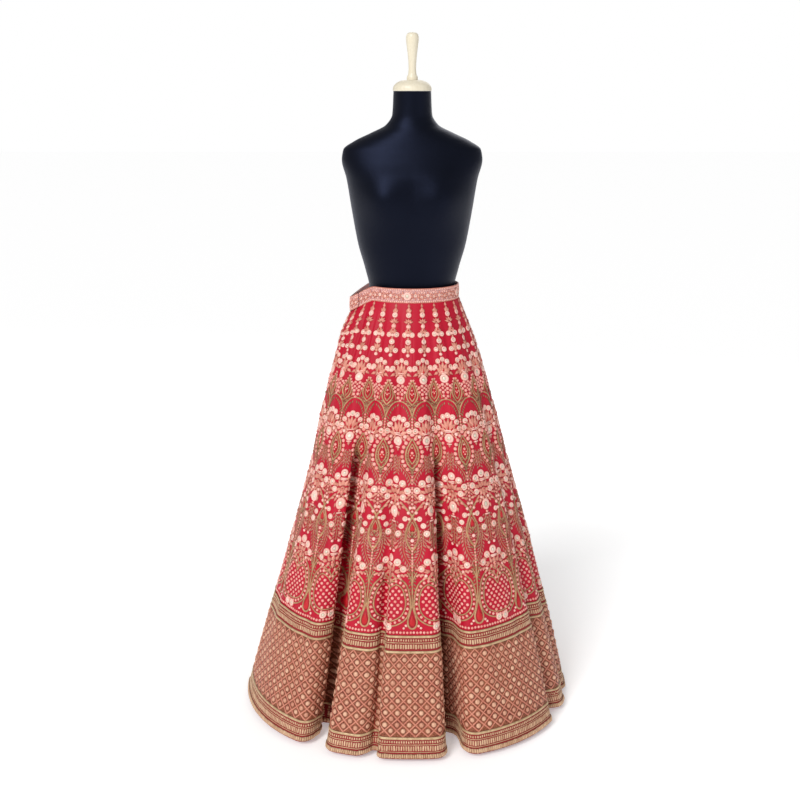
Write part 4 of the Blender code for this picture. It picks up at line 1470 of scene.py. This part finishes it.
# %% The body
# height, and half sizes at the sides, in front and behind
TORSO = np.array([
    (0.800, 0.143, 0.100, 0.110), (0.930, 0.148, 0.104, 0.120), (1.000, 0.135, 0.098, 0.108),
    (1.060, 0.1145, 0.0890, 0.0890), (1.095, 0.1075, 0.0845, 0.0810),
    (1.146, 0.1180, 0.0880, 0.0850), (1.207, 0.1350, 0.0960, 0.0940),
    (1.290, 0.1500, 0.1080, 0.1020), (1.370, 0.1630, 0.1020, 0.1040),
    (1.415, 0.1740, 0.0840, 0.0980), (1.440, 0.1700, 0.0730, 0.0880),
    (1.462, 0.1400, 0.0660, 0.0780), (1.480, 0.1020, 0.0600, 0.0690),
    (1.500, 0.0640, 0.0530, 0.0590), (1.525, 0.0490, 0.0480, 0.0500),
    (1.580, 0.0460, 0.0460, 0.0460)])
BUST_HEIGHT = 1.325
BUST_APART = 0.078
BUST_OUT = 0.020
BUST_SPREAD = 0.052


def form_surface(around, level):
    """Points of the form: a level runs from 0 at its foot to 1 at its neck."""
    turn = 2 * np.pi * (around - 0.5)
    spread = np.linspace(0, 1, len(TORSO))
    height = smooth_value(spread, TORSO[:, 0], 1 - level)
    side, front, back = (smooth_value(TORSO[:, 0], TORSO[:, column], height)
                         for column in (1, 2, 3))
    x = side * np.sin(turn)
    y = -np.where(np.cos(turn) > 0, front, back) * np.cos(turn)
    lobe = np.exp(-((np.abs(x) - BUST_APART) ** 2 + (height - BUST_HEIGHT) ** 2)
                  / BUST_SPREAD ** 2)
    return np.stack([x, y - BUST_OUT * lobe * ease(np.cos(turn) * 2.0), height], axis=-1)


print("the form is", round(float(TORSO[-1, 0] - TORSO[0, 0]), 3), "m tall")

# %% Jersey, and the grid rolled into the form
FORM_SMOOTH_UNDER = 40
jersey, jersey_place, _ = start_finish("black_jersey", roughness=0.40, sheen=0.10,
                                       sheen_tint=linear(90, 115, 200), specular=0.24)
jersey_shader = jersey.node_tree.nodes["Principled BSDF"]
jersey_shader.inputs["Specular Tint"].default_value = linear(148, 164, 222)
knit = jersey_place.stretched((1, 1, 1.4)).noise(1400.0, 1.0, 0.5)
colour_it(jersey, jersey_place.noise(12.0, 2.0, 0.5).blend(linear(7, 8, 12), linear(11, 13, 20)))
bump_it(jersey, knit, 0.0002)
bpy.ops.object.select_all(action="DESELECT")
bpy.ops.mesh.primitive_grid_add(x_subdivisions=112, y_subdivisions=110, size=2)
form = bpy.context.object
form.name = "jersey_form"
flat = np.empty(len(form.data.vertices) * 3)
form.data.vertices.foreach_get("co", flat)
flat = flat.reshape(-1, 3)
rolled = form_surface((flat[:, 0] + 1) / 2, (1 - flat[:, 1]) / 2)
form.data.vertices.foreach_set("co", rolled.ravel())
bpy.ops.object.mode_set(mode="EDIT")
bpy.ops.mesh.select_all(action="SELECT")
bpy.ops.mesh.remove_doubles(threshold=WELD)
bpy.ops.mesh.fill_holes(sides=0)
bpy.ops.object.mode_set(mode="OBJECT")
bpy.ops.object.shade_smooth_by_angle(angle=math.radians(FORM_SMOOTH_UNDER))
form.data.materials.clear()
form.data.materials.append(jersey)
settle(form, "black_jersey", "torso")

# %% [markdown]
# ## The neck cap and its handle
# The cap is turned on a lathe from one piece of pale wood. A filled circle is extruded again
# and again, each time to the next height and radius, which is what a lathe's profile is.

# %% The cap's profile
CAP_BOTTOM = 1.5803
CAP_RADIUS = 0.0475
CAP_SIDE = 0.004
CAP_DOME = 0.022
CAP_EDGE = 0.0006
CAP_SMOOTH_UNDER = 35

# the handle's radius at each height over the cap
HANDLE = np.array([(0.0135, 0.0000), (0.0135, 0.0060), (0.0100, 0.0140), (0.0092, 0.0300),
                   (0.0110, 0.0560), (0.0142, 0.0820), (0.0156, 0.0960), (0.0140, 0.1060),
                   (0.0085, 0.1110)])
dome = [(HANDLE[0, 0] + (CAP_RADIUS - HANDLE[0, 0]) * math.cos(t),
         CAP_SIDE + CAP_DOME * math.sin(t)) for t in np.linspace(0.1, math.pi / 2, 12)]
handle_heights = np.linspace(0.002, 0.1085, 34)
handle = [(float(smooth_value(HANDLE[:, 1], HANDLE[:, 0], h)), CAP_SIDE + CAP_DOME + h)
          for h in handle_heights]
knob = [(0.0086, CAP_SIDE + CAP_DOME + 0.1102), (0.0050, CAP_SIDE + CAP_DOME + 0.1109)]
profile = [(CAP_RADIUS, CAP_EDGE), (CAP_RADIUS, CAP_SIDE)] + dome + handle + knob
print("steps of the lathe's profile:", len(profile))

# %% Turn it in wood
wood, wood_place, _ = start_finish("pale_turned_wood", roughness=0.38)
grain = wood_place.stretched((260, 260, 9)).noise(1.0, 3.0, 0.6)
colour_it(wood, grain.blend(linear(220, 208, 180), linear(242, 234, 214)))
bump_it(wood, grain, 0.0002)
bpy.ops.object.select_all(action="DESELECT")
bpy.ops.mesh.primitive_circle_add(vertices=64, radius=CAP_RADIUS - CAP_EDGE, fill_type="NGON",
                                  location=(0, 0, CAP_BOTTOM))
cap = bpy.context.object
cap.name = "wooden_cap"
bpy.ops.object.mode_set(mode="EDIT")
bpy.ops.mesh.select_all(action="SELECT")
last_radius, last_height = CAP_RADIUS - CAP_EDGE, 0.0
for radius, height in profile:
    rise = height - last_height
    ratio = radius / last_radius
    bpy.ops.mesh.extrude_region_move(TRANSFORM_OT_translate={"value": (0, 0, rise)})
    bpy.ops.transform.resize(value=(ratio, ratio, 1))
    last_radius, last_height = radius, height
bpy.ops.mesh.select_all(action="SELECT")
bpy.ops.mesh.normals_make_consistent(inside=False)
bpy.ops.object.mode_set(mode="OBJECT")
bpy.ops.object.transform_apply(location=True, rotation=True, scale=True)
bpy.ops.object.shade_smooth_by_angle(angle=math.radians(CAP_SMOOTH_UNDER))
cap.data.materials.append(wood)
settle(cap, "turned_wood", "neck_cap")

# %% [markdown]
# ## The stand
# The pole and the round base carry the form. Their shapes are already right in the plain
# part, so they stay and take a powder coat: black paint baked on as powder, which leaves a
# fine orange-peel texture and a dull shine.

# %% Powder coat
powder, powder_place, _ = start_finish("black_powder_coat", roughness=0.5)
peel = powder_place.noise(700.0, 2.0, 0.5)
colour_it(powder, powder_place.noise(20.0, 2.0, 0.5).blend(linear(26, 26, 28), linear(38, 38, 41)))
bump_it(powder, peel, 0.0001)
for node in ("stand_base", "stand_pole"):
    stand_part = frame["nodes"][node]
    stand_part.data.materials.clear()
    stand_part.data.materials.append(powder)
print("painted the stand")

# %% [markdown]
# ## The cut of each cloth
# The size that each cloth was cut to is worked out from the surface, and the kali's is
# printed. A kali is a trapezium with gently curved sides, wide at the hem.

kali_area = cut_area(0.0, SLANT_END, 1 / KALIS)
kali_top, kali_foot = (float(cut_length(slant)) / KALIS for slant in (0, SLANT_END))
for strip, top, foot in zip(strips, (TOP_TRIM, LATTICE_TOP, HEM_TRIM),
                            (LATTICE_TOP, HEM_TRIM, SLANT_END)):
    foot - top
    cut_area(top, foot)
print("kali:", round(kali_top, 4), "to", round(kali_foot, 4), "m wide,", round(SLANT_END, 3),
      "m long,", round(kali_area, 4), "square metres")
